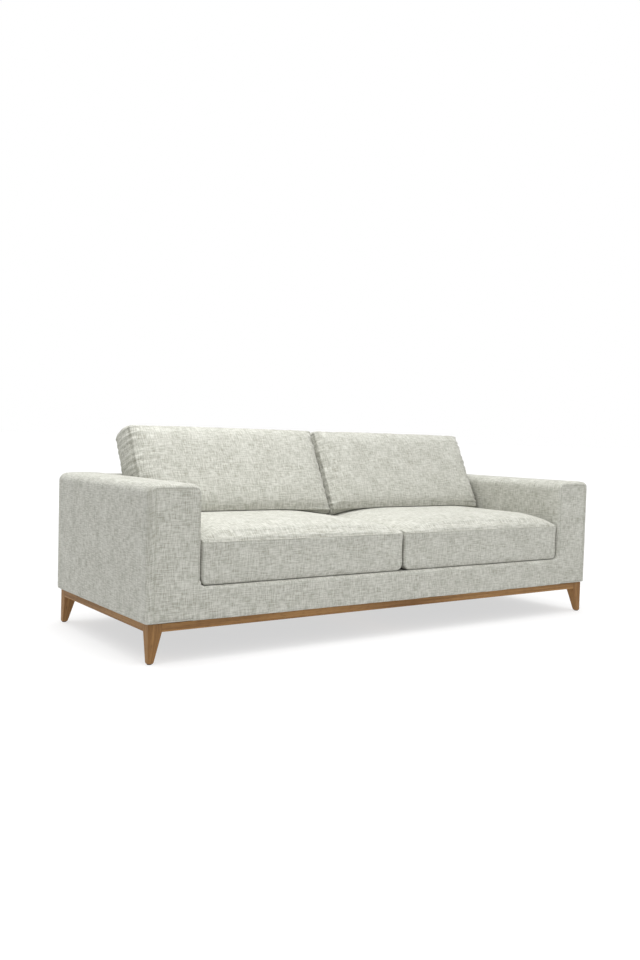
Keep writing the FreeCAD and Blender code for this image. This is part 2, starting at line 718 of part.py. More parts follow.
def seat_cushion_form(side, inset):
    """What three prisms share: the plan, the section front to back and the section side to side."""
    x = f"({SEAT_WIDTH} / 2 - ({inset}))"
    y = f"({SEAT_DEPTH} / 2 - ({inset}))"
    plan = rounded_rectangle(x, f"-{y}", y, f"(seat_corner - ({inset}))")
    height = "seat_boxing + seat_crown"
    prisms = [
        prism("plan", "XY_Plane", [plan], height, both_ways=False),
        prism("lengthways", "YZ_Plane", [seat_section(SEAT_DEPTH, inset)], SEAT_WIDTH),
        prism("crossways", "XZ_Plane", [seat_section(SEAT_WIDTH, inset)], SEAT_DEPTH),
    ]
    common = doc.addObject("Part::MultiCommon", "seat_form")
    common.Shapes = prisms
    middle_y = f"({SEAT_FRONT} + {SEAT_REAR}) / 2"
    place(common, f"{side} * (cushion_gap / 2 + {SEAT_WIDTH} / 2)", middle_y, SEAT_BOTTOM)
    return common


def seat_cushion(name, side):
    """Cover with a zip let into its rear, and a filling."""
    middle = f"{side} * (cushion_gap / 2 + {SEAT_WIDTH} / 2)"
    zip_x = (f"{middle} - zip_length / 2", f"{middle} + zip_length / 2")
    zip_middle = f"({SEAT_BOTTOM} + seat_boxing / 2)"
    zip_z = (f"{zip_middle} - zip_width / 2", f"{zip_middle} + zip_width / 2")
    zip_tape = block("seat_zip", zip_x, (f"{SEAT_REAR} - zip_depth", SEAT_REAR), zip_z)
    piece(zip_tape, f"seat_cushion_zip_{name}")
    shell = cut("seat_shell", seat_cushion_form(side, "0"), seat_cushion_form(side, "cloth"))
    piece(cut("seat_cover", shell, zip_tape), f"seat_cushion_cover_{name}")
    piece(seat_cushion_form(side, "cloth + filling_gap"), f"seat_cushion_filling_{name}")


def bulge(across, rise):
    """Radius of the arc that rises by an amount over a chord."""
    return f"((({across}) / 2)^2 + {rise}^2) / (2 * {rise})"


def back_cushion_form(side, inset):
    """A leaning pad that bulges front and rear, cut off where it meets the seat and the inner back."""
    x = f"({BACK_WIDTH} / 2 - ({inset}))"
    front = f"({inset})"
    rear = f"(back_boxing - ({inset}))"
    low = f"({inset})"
    high = f"(back_cushion_rise + back_tuck - ({inset}))"
    face = rounded_rectangle(x, low, high, f"(back_corner - ({inset}))")
    upright = f"({high} - {low})"
    side_loop = [
        (front, low),
        (rear, low, bulge(upright, "back_rear_crown")),
        (rear, high),
        (front, high, bulge(upright, "back_front_crown")),
    ]
    plan_loop = [
        (f"-{x}", front, bulge(f"2 * {x}", "back_front_crown")),
        (x, front),
        (x, rear, bulge(f"2 * {x}", "back_rear_crown")),
        (f"-{x}", rear),
    ]
    thick = "back_boxing + back_front_crown + back_rear_crown"
    prisms = [
        prism("face", "XZ_Plane", [face], f"2 * ({thick})"),
        prism("section", "YZ_Plane", [side_loop], BACK_WIDTH),
        prism("plan", "XY_Plane", [plan_loop], "back_cushion_rise + back_tuck", both_ways=False),
    ]
    pad_form = doc.addObject("Part::MultiCommon", "back_pad_form")
    pad_form.Shapes = prisms
    pad_form.Placement = Placement(Vector(), Rotation(Vector(-1, 0, 0), value("back_cushion_lean")))
    bind(pad_form, "Placement.Rotation.Angle", "back_cushion_lean * 1 deg")
    foot_y = f"({BACK_FOOT} - back_tuck * sin(back_cushion_lean * 1 deg))"
    foot_z = f"({BACK_FLOOR} - back_tuck * cos(back_cushion_lean * 1 deg))"
    place(pad_form, f"{side} * (cushion_gap / 2 + {BACK_WIDTH} / 2)", foot_y, foot_z)

    floor = f"({BACK_FLOOR} + ({inset}))"
    ledge = f"(arm_height + rest_gap + ({inset}))"
    away = "body_depth / 2"
    above = f"({floor} + back_cushion_rise + back_boxing)"
    room = [
        (f"-{away}", floor),
        (inner_back(floor, f"-rest_gap - ({inset})"), floor),
        (inner_back(ledge, f"-rest_gap - ({inset})"), ledge),
        (away, ledge),
        (away, above),
        (f"-{away}", above),
    ]
    space = prism("back_room", "YZ_Plane", [room], f"2 * {INNER_X}")
    common = doc.addObject("Part::MultiCommon", "back_form")
    common.Shapes = [pad_form, space]
    return common


def back_cushion(name, side):
    """Cover with a zip let into its underside, and a filling."""
    middle = f"{side} * (cushion_gap / 2 + {BACK_WIDTH} / 2)"
    zip_x = (f"{middle} - zip_length / 2", f"{middle} + zip_length / 2")
    zip_middle = f"({BACK_FOOT} + back_boxing / 2)"
    zip_y = (f"{zip_middle} - zip_width / 2", f"{zip_middle} + zip_width / 2")
    zip_tape = block("back_zip", zip_x, zip_y, (BACK_FLOOR, f"{BACK_FLOOR} + zip_depth"))
    piece(zip_tape, f"back_cushion_zip_{name}")
    shell = cut("back_shell", back_cushion_form(side, "0"), back_cushion_form(side, "cloth"))
    piece(cut("back_cover", shell, zip_tape), f"back_cushion_cover_{name}")
    piece(back_cushion_form(side, "cloth + filling_gap"), f"back_cushion_filling_{name}")


def check():
    """Stop if any object failed, or any piece has no sound shape."""
    for thing in doc.Objects:
        if {"Invalid", "Error"} & set(thing.State):
            raise RuntimeError(f"{thing.Label} failed: {thing.State}")
    for name, thing in pieces.items():
        shape = thing.Shape
        if shape.isNull() or not shape.isValid() or not shape.Solids:
            raise RuntimeError(f"{name} has no sound shape")


base_rails()
legs_and_glides()
corner_blocks()
base_bolts()
dust_cover()
for side_name, side_sign in SIDES:
    arm(side_name, side_sign)
seat_frame()
springs()
spring_clips()
deck()
front_border()
back_upholstery()
back_frame()
for side_name, side_sign in SIDES:
    seat_cushion(side_name, side_sign)
    back_cushion(side_name, side_sign)

doc.recompute()
check()
os.makedirs("parts", exist_ok=True)
for name, thing in pieces.items():
    thing.Shape.exportStep(f"parts/{name}.step")
print(len(pieces), "pieces")
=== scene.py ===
"""Looks of a three-seat sofa on a timber base, laid out as an add-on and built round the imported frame.

Metres throughout. X runs along the sofa, the front faces -Y, and Z is up. The origin is on the floor, under
the sofa's middle.
"""
import functools
import math
from dataclasses import dataclass

import bpy
import numpy as np
from bpy.props import FloatProperty, FloatVectorProperty, IntProperty, PointerProperty
from mathutils import Matrix, Vector


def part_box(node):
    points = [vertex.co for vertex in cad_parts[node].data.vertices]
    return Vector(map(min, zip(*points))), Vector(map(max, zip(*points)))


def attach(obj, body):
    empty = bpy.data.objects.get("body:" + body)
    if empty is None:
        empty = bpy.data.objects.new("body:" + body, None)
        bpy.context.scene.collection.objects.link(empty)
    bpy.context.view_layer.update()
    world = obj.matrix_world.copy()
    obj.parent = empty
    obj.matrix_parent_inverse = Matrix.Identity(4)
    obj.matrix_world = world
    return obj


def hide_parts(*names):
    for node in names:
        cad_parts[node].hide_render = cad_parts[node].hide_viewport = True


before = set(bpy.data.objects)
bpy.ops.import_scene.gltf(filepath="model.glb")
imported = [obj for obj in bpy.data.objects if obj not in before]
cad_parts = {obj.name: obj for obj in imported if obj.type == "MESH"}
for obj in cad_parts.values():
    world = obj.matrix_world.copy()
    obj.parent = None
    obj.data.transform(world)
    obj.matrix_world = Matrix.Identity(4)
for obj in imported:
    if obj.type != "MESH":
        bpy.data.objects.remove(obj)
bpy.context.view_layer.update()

bl_info = {
    "name": "Sofa on a timber base",
    "version": (1, 0, 0),
    "blender": (4, 5, 0),
    "location": "3D View > Sidebar > Sofa",
    "description": "Upholstery, cushions and timber of a three-seat sofa",
    "category": "Object",
}

SIDES = (("left", -1), ("right", 1))
CLOTH_MAP = "cloth"
# Attribute that darkens the cloth towards the dark yarn: dust and painted shade in the seams' grooves, and
# painted shade along the arms' outer front corners.
SEAM_DUST_AND_SHADE_MASK = "seam"
CREASE = math.radians(62)
SEAM_SHADE = 0.0045


# Sizes and colours that a user would change --------------------------------------------------


def length(name, description, default):
    """A length that a user may change."""
    return FloatProperty(name=name, description=description, default=default, unit="LENGTH")


def tint(name, description, default):
    """A colour that a user may change."""
    return FloatVectorProperty(name=name, description=description, default=default, subtype="COLOR")


class SofaUpholstery(bpy.types.PropertyGroup):
    """Shapes of the fixed upholstery and of the cushions."""

    outer_roll: length("Outer roll", "Rounding of an arm's outer front edge", 0.026)
    inner_roll: length("Inner roll", "Rounding of an arm's inner front edge", 0.010)
    hem_roll: length("Hem roll", "Rounding where the cloth turns under", 0.009)
    gusset: length("Gusset", "Rounding where the front border meets an arm", 0.022)
    seam_depth: length("Seam depth", "Depth of the groove along a seam", 0.0026)
    pucker: length("Pucker", "Height of the gathers along a cushion's seams", 0.0022)
    give: length("Give", "Furthest that a cushion's cloth swells", 0.012)
    pressure: FloatProperty(name="Pressure", description="Air pressure in a cushion", default=4.0)
    frames: IntProperty(name="Frames", description="Steps of the cloth simulation", default=20)


class SofaColours(bpy.types.PropertyGroup):
    """Colours of cloth and timber."""

    pale: tint("Pale yarn", "Lightest yarn", (0.60, 0.60, 0.545))
    middle: tint("Middle yarn", "Most of the yarn", (0.475, 0.475, 0.425))
    # The dark yarn is also the colour of the dust and painted shade along the seams and the arms' front
    # corners.
    dark: tint("Dark yarn", "Flecks and shaded yarn", (0.315, 0.312, 0.262))
    timber_pale: tint("Pale timber", "Early wood", (0.37, 0.200, 0.070))
    timber_dark: tint("Dark timber", "Late wood and pores", (0.17, 0.080, 0.024))


class SofaStudio(bpy.types.PropertyGroup):
    """Floor, lamps and camera."""

    dome: FloatProperty(name="Dome", description="Strength of the light from all round", default=0.42)
    zenith: FloatProperty(name="Zenith", description="Extra strength of the light from above", default=4.1)
    camera_place: FloatVectorProperty(
        name="Camera", description="Where the camera stands", default=(-2.38, -3.191, 0.76), unit="LENGTH"
    )
    camera_turn: FloatVectorProperty(
        name="Turn",
        description="Camera's turn to the right, tilt down and roll",
        default=(math.radians(35.3), math.radians(2.51), math.radians(-1.63)),
        subtype="EULER",
    )
    focal_length: FloatProperty(
        name="Focal length", description="In millimetres, on a 36 mm film", default=34.69
    )


# Closed forms on a grid ----------------------------------------------------------------------


@dataclass
class Form:
    """A closed mesh of quads, with a cloth coordinate for each corner and two guides for each vertex.

    plan is the vertex's place in the form's outline, and profile is the length of cloth from the bottom ring,
    negative on the bottom panel and past profile_end on the top panel. reach is the outline's widest box.
    """

    verts: np.ndarray
    faces: np.ndarray
    cloth: np.ndarray
    plan: np.ndarray
    profile: np.ndarray
    profile_end: float
    reach: np.ndarray


def graded(count, bias=0.6):
    """Fractions between 0 and 1, closer together near both: u - bias * sin(2 pi u) / (2 pi)."""
    u = np.linspace(0, 1, count + 2)[1:-1]
    return u - bias * np.sin(2 * np.pi * u) / (2 * np.pi)


def outline_rows(box, radii, along, turn):
    """Rounded rectangles, one a row: for each corner a quarter circle, joined by straight runs.

    box holds low a, high a, low b and high b of each row, and radii the four corners' radii of each row.
    """
    low_a, high_a, low_b, high_b = box.T
    corner_a = np.stack([low_a, high_a, high_a, low_a], -1)
    corner_b = np.stack([low_b, low_b, high_b, high_b], -1)
    centre = np.stack([corner_a + radii * [1, -1, -1, 1], corner_b + radii * [1, 1, -1, -1]], -1)
    middle = np.radians([225, 315, 405, 495])
    half = np.linspace(0, np.pi / 4, turn // 2 + 1)
    rows = []
    for side in range(4):
        after = (side + 1) % 4
        ends = []
        for corner, angle in ((side, middle[side] + half), (after, middle[after] - np.pi / 4 + half)):
            circle = np.stack([np.cos(angle), np.sin(angle)], -1)
            ends.append(centre[:, corner, None] + radii[:, corner, None, None] * circle)
        first, last = ends
        share = along[side % 2][:, None]
        straight = first[:, -1:] * (1 - share) + last[:, :1] * share
        rows.append(np.concatenate([first, straight, last[:, :-1]], 1))
    return np.concatenate(rows, 1)


def edge_distance(plan, reach):
    """Distance of each point inside a rectangle from its four sides, in the order of the outline."""
    a, b = plan[:, 0], plan[:, 1]
    return np.stack([b - reach[2], reach[1] - a, reach[3] - b, a - reach[0]], -1)


def panel_grid(ring, rows, columns):
    """Points that fill a closed ring: the blend of its four sides, less the blend of its four corners."""
    low = ring[: columns + 1]
    right = ring[columns : columns + rows + 1]
    high = ring[columns + rows : 2 * columns + rows + 1][::-1]
    left = np.concatenate([ring[2 * columns + rows :], ring[:1]])[::-1]
    s = ((low[:, 0] - low[0, 0]) / (low[-1, 0] - low[0, 0]))[None, :, None]
    t = ((right[:, 1] - right[0, 1]) / (right[-1, 1] - right[0, 1]))[:, None, None]
    sides = (1 - t) * low[None] + t * high[None] + (1 - s) * left[:, None] + s * right[:, None]
    corners = (1 - s) * (1 - t) * low[0] + s * (1 - t) * low[-1] + (1 - s) * t * high[0] + s * t * high[-1]
    return sides - corners


def closed_form(box, height, radii, along, turn=8):
    """A closed form: rounded rectangles stacked at heights, with a panel that closes each end.

    box and height give each level's rectangle and place, and radii the corners' radii of each level, which
    shrink where a rectangle does.
    """
    columns, rows = len(along[0]) + 1 + turn, len(along[1]) + 1 + turn
    outline = outline_rows(box, radii, along, turn)
    levels, count = outline.shape[:2]
    lift = np.broadcast_to(height[:, None, None], (levels, count, 1))
    ring = np.concatenate([outline, lift], 2)
    step = np.linalg.norm(np.diff(ring, axis=0), axis=2).mean(1)
    travel = np.concatenate([[0], np.cumsum(step)])
    numbers = np.arange(levels * count).reshape(levels, count)
    widest = ring[levels // 2]
    around = np.concatenate([[0], np.cumsum(np.linalg.norm(np.roll(widest, -1, 0) - widest, axis=1))])

    here, after = numbers, np.roll(numbers, -1, 1)
    walls = np.stack([here[:-1], after[:-1], after[1:], here[1:]], -1).reshape(-1, 4)
    u = np.stack([around[:-1], around[1:], around[1:], around[:-1]], -1)
    v = np.stack([travel[:-1], travel[:-1], travel[1:], travel[1:]], -1)
    u = np.broadcast_to(u[None], (levels - 1, count, 4))
    v = np.broadcast_to(v[:, None], (levels - 1, count, 4))
    walls_cloth = np.stack([u, v], -1).reshape(-1, 4, 2)

    verts, faces, cloth = [ring.reshape(-1, 3)], [walls], [walls_cloth]
    plan, profile = [ring[..., :2].reshape(-1, 2)], [np.repeat(travel, count)]
    used = levels * count
    for level, top in ((0, False), (levels - 1, True)):
        grid = panel_grid(ring[level], rows, columns)
        index = np.empty((rows + 1, columns + 1), int)
        inside = (rows - 1) * (columns - 1)
        index[1:-1, 1:-1] = used + np.arange(inside).reshape(rows - 1, columns - 1)
        used += inside
        edge = numbers[level]
        index[0] = edge[: columns + 1]
        index[:, -1] = edge[columns : columns + rows + 1]
        index[-1] = edge[columns + rows : 2 * columns + rows + 1][::-1]
        index[:, 0] = np.concatenate([edge[2 * columns + rows :], edge[:1]])[::-1]
        corner = (
            (slice(0, -1), slice(0, -1)),
            (slice(0, -1), slice(1, None)),
            (slice(1, None), slice(1, None)),
            (slice(1, None), slice(0, -1)),
        )
        corner = corner if top else corner[::-1]
        faces.append(np.stack([index[place] for place in corner], -1).reshape(-1, 4))
        cloth.append(np.stack([grid[place][..., :2] for place in corner], -2).reshape(-1, 4, 2))
        inner = grid[1:-1, 1:-1].reshape(-1, 3)
        verts.append(inner)
        plan.append(inner[:, :2])
        deep = edge_distance(inner[:, :2], box[level]).min(1)
        profile.append(travel[-1] + deep if top else -deep)
    return Form(
        np.concatenate(verts),
        np.concatenate(faces),
        np.concatenate(cloth),
        np.concatenate(plan),
        np.concatenate(profile),
        travel[-1],
        np.array([box[:, 0].min(), box[:, 1].max(), box[:, 2].min(), box[:, 3].max()]),
    )


def rolled_levels(box, low, high, rolls, middle, low_roll=None, steps=6):
    """Levels of a form whose ends are rolled: the rectangle shrinks by roll * (1 - sin) as it nears an end.

    rolls holds the shrink of the four sides and the length of the roll at the high end, and low_roll the same
    at the low end. Gives each level's rectangle and height.
    """
    angle = np.linspace(0, np.pi / 2, steps + 1)
    low_roll = rolls if low_roll is None else low_roll
    shrink, heights = [], []
    for roll, rising in ((low_roll, True), (rolls, False)):
        turn = angle if rising else angle[::-1]
        shrink.append(np.array(roll[:4])[None] * (1 - np.sin(turn))[:, None])
        depth = roll[4] * (1 - np.cos(turn))
        heights.append(low + depth if rising else high - depth)
    start, end = heights[0][-1], heights[1][0]
    straight = start + (end - start) * middle
    height = np.concatenate([heights[0], straight, heights[1]])
    inset = np.concatenate([shrink[0], np.zeros((len(middle), 4)), shrink[1]])
    return np.array(box)[None] + inset * [1, -1, 1, -1], height


def shrunk_radii(boxes, box, radii, least=0.0012):
    """Corner radii of each level: the widest level's, less what the two sides at the corner have drawn in."""
    inset = np.abs(boxes - np.array(box)[None])
    sides = ((0, 2), (1, 2), (1, 3), (0, 3))
    drawn = np.stack([inset[:, list(pair)].max(1) for pair in sides], -1)
    return np.maximum(np.array(radii)[None] - drawn, least)


def front_map(form, front):
    """A cloth map that a form shares with its neighbours on their common front: x, and height plus depth."""
    corners = form.verts[form.faces]
    return np.stack([corners[..., 0], corners[..., 2] + corners[..., 1] - front], -1)


def normals_of(verts, faces):
    """Unit normals: the sum of the cross products of the diagonals of the faces round each vertex."""
    first = verts[faces[:, 2]] - verts[faces[:, 0]]
    second = verts[faces[:, 3]] - verts[faces[:, 1]]
    cross = np.cross(first, second)
    total = np.zeros_like(verts)
    for corner in range(4):
        np.add.at(total, faces[:, corner], cross)
    return total / np.maximum(np.linalg.norm(total, axis=1, keepdims=True), 1e-12)


def push(form, amount):
    """Move each vertex along its normal."""
    form.verts = form.verts + normals_of(form.verts, form.faces) * np.asarray(amount)[:, None]


def bump_at(distance, width):
    """A bell: 1 on the line and fading to nothing at about twice the width."""
    return np.exp(-((distance / width) ** 2))


def bell_distance(strength, width):
    """The distance at which the bell has a strength, which is held above a millionth."""
    return width * np.sqrt(-np.log(np.maximum(strength, 1e-6)))


def ripple(along, wavelength, seed, waves=5):
    """Uneven waves along a line: sines of seeded lengths and phases, added up to about -1 to 1."""
    draw = np.random.default_rng(seed)
    lengths = wavelength * draw.uniform(0.65, 1.6, waves)
    phases = draw.uniform(0, 2 * np.pi, waves)
    return np.sin(2 * np.pi * along[..., None] / lengths + phases).sum(-1) / math.sqrt(2 * waves) * 1.2


def unevenness(verts, wavelength, seed):
    """Slow hollows and rises over a surface: the product of uneven waves along two slanted lines."""
    first = ripple(verts @ np.array([1.0, 0.35, 0.2]), wavelength, seed)
    second = ripple(verts @ np.array([-0.25, 0.9, 1.0]), wavelength, seed + 1)
    return first * second


def gathers(form, seam, wavelength, spread, seed, sides):
    """Puckers that start at a seam and fade over the cloth: uneven waves along each side of the outline.

    sides says how strongly each side of the outline gathers.
    """
    distance = np.maximum(edge_distance(form.plan, form.reach), 0)
    weight = np.exp(-distance / (1.5 * spread))
    weight = weight * np.array(sides) / weight.sum(1, keepdims=True)
    a, b = form.plan.T
    waves = np.stack([ripple(along, wavelength, seed + n) for n, along in enumerate((a, b, a, b))], -1)
    folds = 0.6 * waves - 0.8 * bump_at(waves, 0.3)
    away = np.abs(form.profile - seam)
    return (folds * weight).sum(1) * np.exp(-away / spread)


def sewn(form, seams, depth, width=0.0042):
    """Draw the cloth in along its seams, with a low ridge each side. Gives each vertex's distance away."""
    away = np.abs(form.profile[:, None] - np.array(seams)[None]).min(1)
    ridge = bump_at(away - 2.1 * width, 1.2 * width)
    push(form, -depth * bump_at(away, width) + 0.35 * depth * ridge)
    return away


# Meshes and pieces ---------------------------------------------------------------------------


def build_mesh(name, form, dust_and_shade_away=None, creased=False):
    """A mesh with the form's faces, its cloth map, and how near each vertex is to a seam, as a mask of dust
    and painted shade.
    """
    mesh = bpy.data.meshes.new(name)
    mesh.vertices.add(len(form.verts))
    mesh.vertices.foreach_set("co", form.verts.astype(np.float32).ravel())
    mesh.loops.add(form.faces.size)
    mesh.loops.foreach_set("vertex_index", form.faces.astype(np.int32).ravel())
    mesh.polygons.add(len(form.faces))
    mesh.polygons.foreach_set("loop_start", np.arange(0, form.faces.size, 4, dtype=np.int32))
    mesh.update(calc_edges=True)
    mesh.uv_layers.new(name=CLOTH_MAP).uv.foreach_set("vector", form.cloth.astype(np.float32).ravel())
    # The mask darkens the cloth with dust and painted shade near the seams.
    if dust_and_shade_away is not None:
        layer = mesh.attributes.new(SEAM_DUST_AND_SHADE_MASK, "FLOAT", "POINT")
        layer.data.foreach_set("value", bump_at(dust_and_shade_away, SEAM_SHADE).astype(np.float32))
    mesh.shade_smooth()
    if creased:
        mesh.set_sharp_from_angle(angle=CREASE)
    return mesh


def add_piece(name, form, material, body, replaces=(), dust_and_shade_away=None, smoothing=0, creased=False):
    """Link a piece, ride it on its body and hide the CAD nodes that it stands for."""
    piece = bpy.data.objects.new(name, build_mesh(name, form, dust_and_shade_away, creased))
    bpy.context.scene.collection.objects.link(piece)
    piece.data.materials.append(material)
    if smoothing:
        finer = piece.modifiers.new("smoothing", "SUBSURF")
        finer.levels = finer.render_levels = smoothing
    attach(piece, body)
    if replaces:
        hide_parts(*replaces)
    return piece


def swell(form, rest, seams, give, pressure, frames):
    """Blow the cloth up by simulation, and move each vertex out along its normal by give * tanh(d / give).

    d is how far the simulation moved it outwards, and a fifth of that where it moved inwards. A seam is
    stiffer than its panels, so the move fades to a quarter on a seam. rest marks the vertices that are held.
    """
    mesh = build_mesh("swelling", form)
    cushion = bpy.data.objects.new("swelling", mesh)
    scene = bpy.context.scene
    scene.collection.objects.link(cushion)
    pinned = cushion.vertex_groups.new(name="rest")
    pinned.add(np.flatnonzero(rest).tolist(), 1.0, "REPLACE")
    cloth = cushion.modifiers.new("cloth", "CLOTH")
    settings = cloth.settings
    settings.quality = 4
    settings.mass = 0.3
    settings.tension_stiffness = settings.compression_stiffness = 18
    settings.shear_stiffness = 8
    settings.bending_stiffness = 0.6
    settings.use_pressure = True
    settings.uniform_pressure_force = pressure
    settings.effector_weights.gravity = 0
    settings.vertex_group_mass = pinned.name
    cloth.collision_settings.use_collision = False
    cloth.point_cache.frame_start = 1
    cloth.point_cache.frame_end = frames
    for number in range(1, frames + 1):
        scene.frame_set(number)
    swollen = cushion.evaluated_get(bpy.context.evaluated_depsgraph_get()).to_mesh()
    after = np.empty(len(form.verts) * 3, np.float32)
    swollen.vertices.foreach_get("co", after)
    moved = after.reshape(-1, 3) - form.verts
    outward = normals_of(form.verts, form.faces)
    swollen_by = (moved * outward).sum(1)
    swollen_by = np.where(swollen_by > 0, swollen_by, 0.2 * swollen_by)
    away = np.abs(form.profile[:, None] - np.array(seams)[None]).min(1)
    share = 1 - 0.75 * bump_at(away, 0.03)
    form.verts = form.verts + outward * (share * give * np.tanh(swollen_by / give))[:, None]
    scene.frame_set(1)
    bpy.data.objects.remove(cushion)
    bpy.data.meshes.remove(mesh)


def below(values, limit, softness=0.0012):
    """Values held under a limit by a soft stop.

    It is limit - softness * log(1 + exp((limit - value) / softness)).
    """
    return limit - softness * np.logaddexp(0, (limit - values) / softness)


def above(values, limit, softness=0.0012):
    """Values held over a limit by the same soft stop."""
    return -below(-values, -limit, softness)


# Materials -----------------------------------------------------------------------------------


class Nodes:
    """Short calls that add nodes to a tree and link them."""

    def __init__(self, tree):
        self.tree = tree

    def add(self, kind, inputs=None, **settings):
        """One node with its settings, and its inputs as numbers, colours or other sockets."""
        node = self.tree.nodes.new(kind)
        for name, setting in settings.items():
            setattr(node, name, setting)
        for name, source in (inputs or {}).items():
            if isinstance(source, bpy.types.NodeSocket):
                self.tree.links.new(source, node.inputs[name])
            else:
                node.inputs[name].default_value = source
        return node

    def stretched(self, vector, scale, detail=2.0, roughness=0.55):
        """Noise whose cells are drawn out: the coordinate is scaled by a different number along each axis."""
        mapping = self.add("ShaderNodeMapping", {"Vector": vector, "Scale": scale})
        return self.add(
            "ShaderNodeTexNoise",
            {"Vector": mapping.outputs[0], "Scale": 1.0, "Detail": detail, "Roughness": roughness},
        ).outputs["Fac"]

    def math(self, operation, first, second=0.0):
        """One sum on two numbers."""
        return self.add("ShaderNodeMath", {0: first, 1: second}, operation=operation).outputs[0]

    def spread(self, number, low, high, to_low=0.0, to_high=1.0):
        """A number's range drawn out to another range, and held there."""
        inputs = {"Value": number, "From Min": low, "From Max": high, "To Min": to_low, "To Max": to_high}
        return self.add("ShaderNodeMapRange", inputs, clamp=True).outputs[0]

    def mix(self, share, first, second):
        """A colour between two."""
        node = self.add("ShaderNodeMix", data_type="RGBA")
        for index, source in ((0, share), (6, first), (7, second)):
            if isinstance(source, bpy.types.NodeSocket):
                self.tree.links.new(source, node.inputs[index])
            else:
                node.inputs[index].default_value = source
        return node.outputs[2]


def effect_group(name, inputs, outputs):
    """An empty shader group with named sockets, or None if it is there already."""
    if name in bpy.data.node_groups:
        return None
    group = bpy.data.node_groups.new(name, "ShaderNodeTree")
    for socket, kind in inputs:
        group.interface.new_socket(socket, in_out="INPUT", socket_type=kind)
    for socket, kind in outputs:
        group.interface.new_socket(socket, in_out="OUTPUT", socket_type=kind)
    return group


VALUE, COLOUR, VECTOR = "NodeSocketFloat", "NodeSocketColor", "NodeSocketVector"


def slubby_weave():
    """A plain weave of uneven yarn: thick and thin places along both threads, flecks, slow changes of tone,
    and dust and painted shade where the Seam input is high.
    """
    name = "slubby_weave"
    # The Seam input is the mask of dust and painted shade.
    sockets = [("Cloth", VECTOR), ("Pale", COLOUR), ("Middle", COLOUR), ("Dark", COLOUR), ("Seam", VALUE)]
    group = effect_group(name, sockets, [("Color", COLOUR), ("Roughness", VALUE), ("Height", VALUE)])
    if group is None:
        return bpy.data.node_groups[name]
    n = Nodes(group)
    source = n.add("NodeGroupInput").outputs
    cloth = source["Cloth"]
    across, lengthways = 1 / 0.0042, 1 / 0.034
    warp = n.stretched(cloth, (across, lengthways, 1))
    weft = n.stretched(cloth, (lengthways * 0.9, across * 1.05, 1))
    fine_across, fine_length = 1 / 0.0021, 1 / 0.014
    fine_warp = n.stretched(cloth, (fine_across, fine_length, 1), 1.0)
    fine_weft = n.stretched(cloth, (fine_length, fine_across, 1), 1.0)
    mottle = n.stretched(cloth, (11, 13, 1), 3.0)
    slub = n.math("ADD", n.spread(warp, 0.36, 0.66), n.spread(weft, 0.36, 0.66))
    yarn = n.math("ADD", n.spread(fine_warp, 0.3, 0.7), n.spread(fine_weft, 0.3, 0.7))
    tone = n.math("ADD", n.math("MULTIPLY", slub, 0.36), n.math("MULTIPLY", yarn, 0.14))
    tone = n.math("ADD", tone, n.spread(mottle, 0.3, 0.7, -0.09, 0.09))
    colour = n.mix(n.spread(tone, 0.16, 0.52), source["Dark"], source["Middle"])
    colour = n.mix(n.spread(tone, 0.48, 0.86), colour, source["Pale"])
    fleck = n.stretched(cloth, (1 / 0.020, 1 / 0.0034, 1), 1.5)
    colour = n.mix(n.spread(fleck, 0.62, 0.74, 0.0, 0.55), colour, source["Dark"])
    # Dust and painted shade: the cloth drawn towards the dark yarn where the seam mask is high.
    colour = n.mix(n.math("MULTIPLY", source["Seam"], 0.34), colour, source["Dark"])
    parts = n.add("ShaderNodeSeparateXYZ", {0: cloth}).outputs
    pitch = 2 * math.pi / 0.0023
    threads = n.math(
        "MULTIPLY",
        n.math("SINE", n.math("MULTIPLY", parts[0], pitch)),
        n.math("SINE", n.math("MULTIPLY", parts[1], pitch)),
    )
    height = n.math("ADD", n.math("MULTIPLY", slub, 0.5), n.math("MULTIPLY", threads, 0.22))
    height = n.math("ADD", height, n.math("MULTIPLY", yarn, 0.25))
    rough = n.spread(tone, 0.1, 0.9, 0.96, 0.84)
    n.add("NodeGroupOutput", {"Color": colour, "Roughness": rough, "Height": height})
    return group


def timber_grain():
    """Long grain: rings drawn out along the length, fine pores, and slow changes of colour."""
    name = "timber_grain"
    sockets = [("Place", VECTOR), ("Pale", COLOUR), ("Dark", COLOUR), ("Pore", VALUE)]
    group = effect_group(name, sockets, [("Color", COLOUR), ("Roughness", VALUE), ("Height", VALUE)])
    if group is None:
        return bpy.data.node_groups[name]
    n = Nodes(group)
    source = n.add("NodeGroupInput").outputs
    place = source["Place"]
    drift = n.stretched(place, (14, 1.6, 14), 2.0)
    rings = n.stretched(place, (120, 2.2, 120), 3.0, 0.6)
    pores = n.stretched(place, (900, 26, 900), 1.0, 0.5)
    tone = n.math("ADD", n.math("MULTIPLY", rings, 0.65), n.math("MULTIPLY", drift, 0.35))
    colour = n.mix(n.spread(tone, 0.34, 0.64), source["Dark"], source["Pale"])
    pore = n.math("MULTIPLY", n.spread(pores, 0.58, 0.70), source["Pore"])
    colour = n.mix(pore, colour, (0.055, 0.024, 0.009, 1))
    rough = n.spread(tone, 0.3, 0.7, 0.66, 0.52)
    height = n.math("SUBTRACT", n.math("MULTIPLY", tone, 0.4), n.math("MULTIPLY", pore, 0.6))
    n.add("NodeGroupOutput", {"Color": colour, "Roughness": rough, "Height": height})
    return group


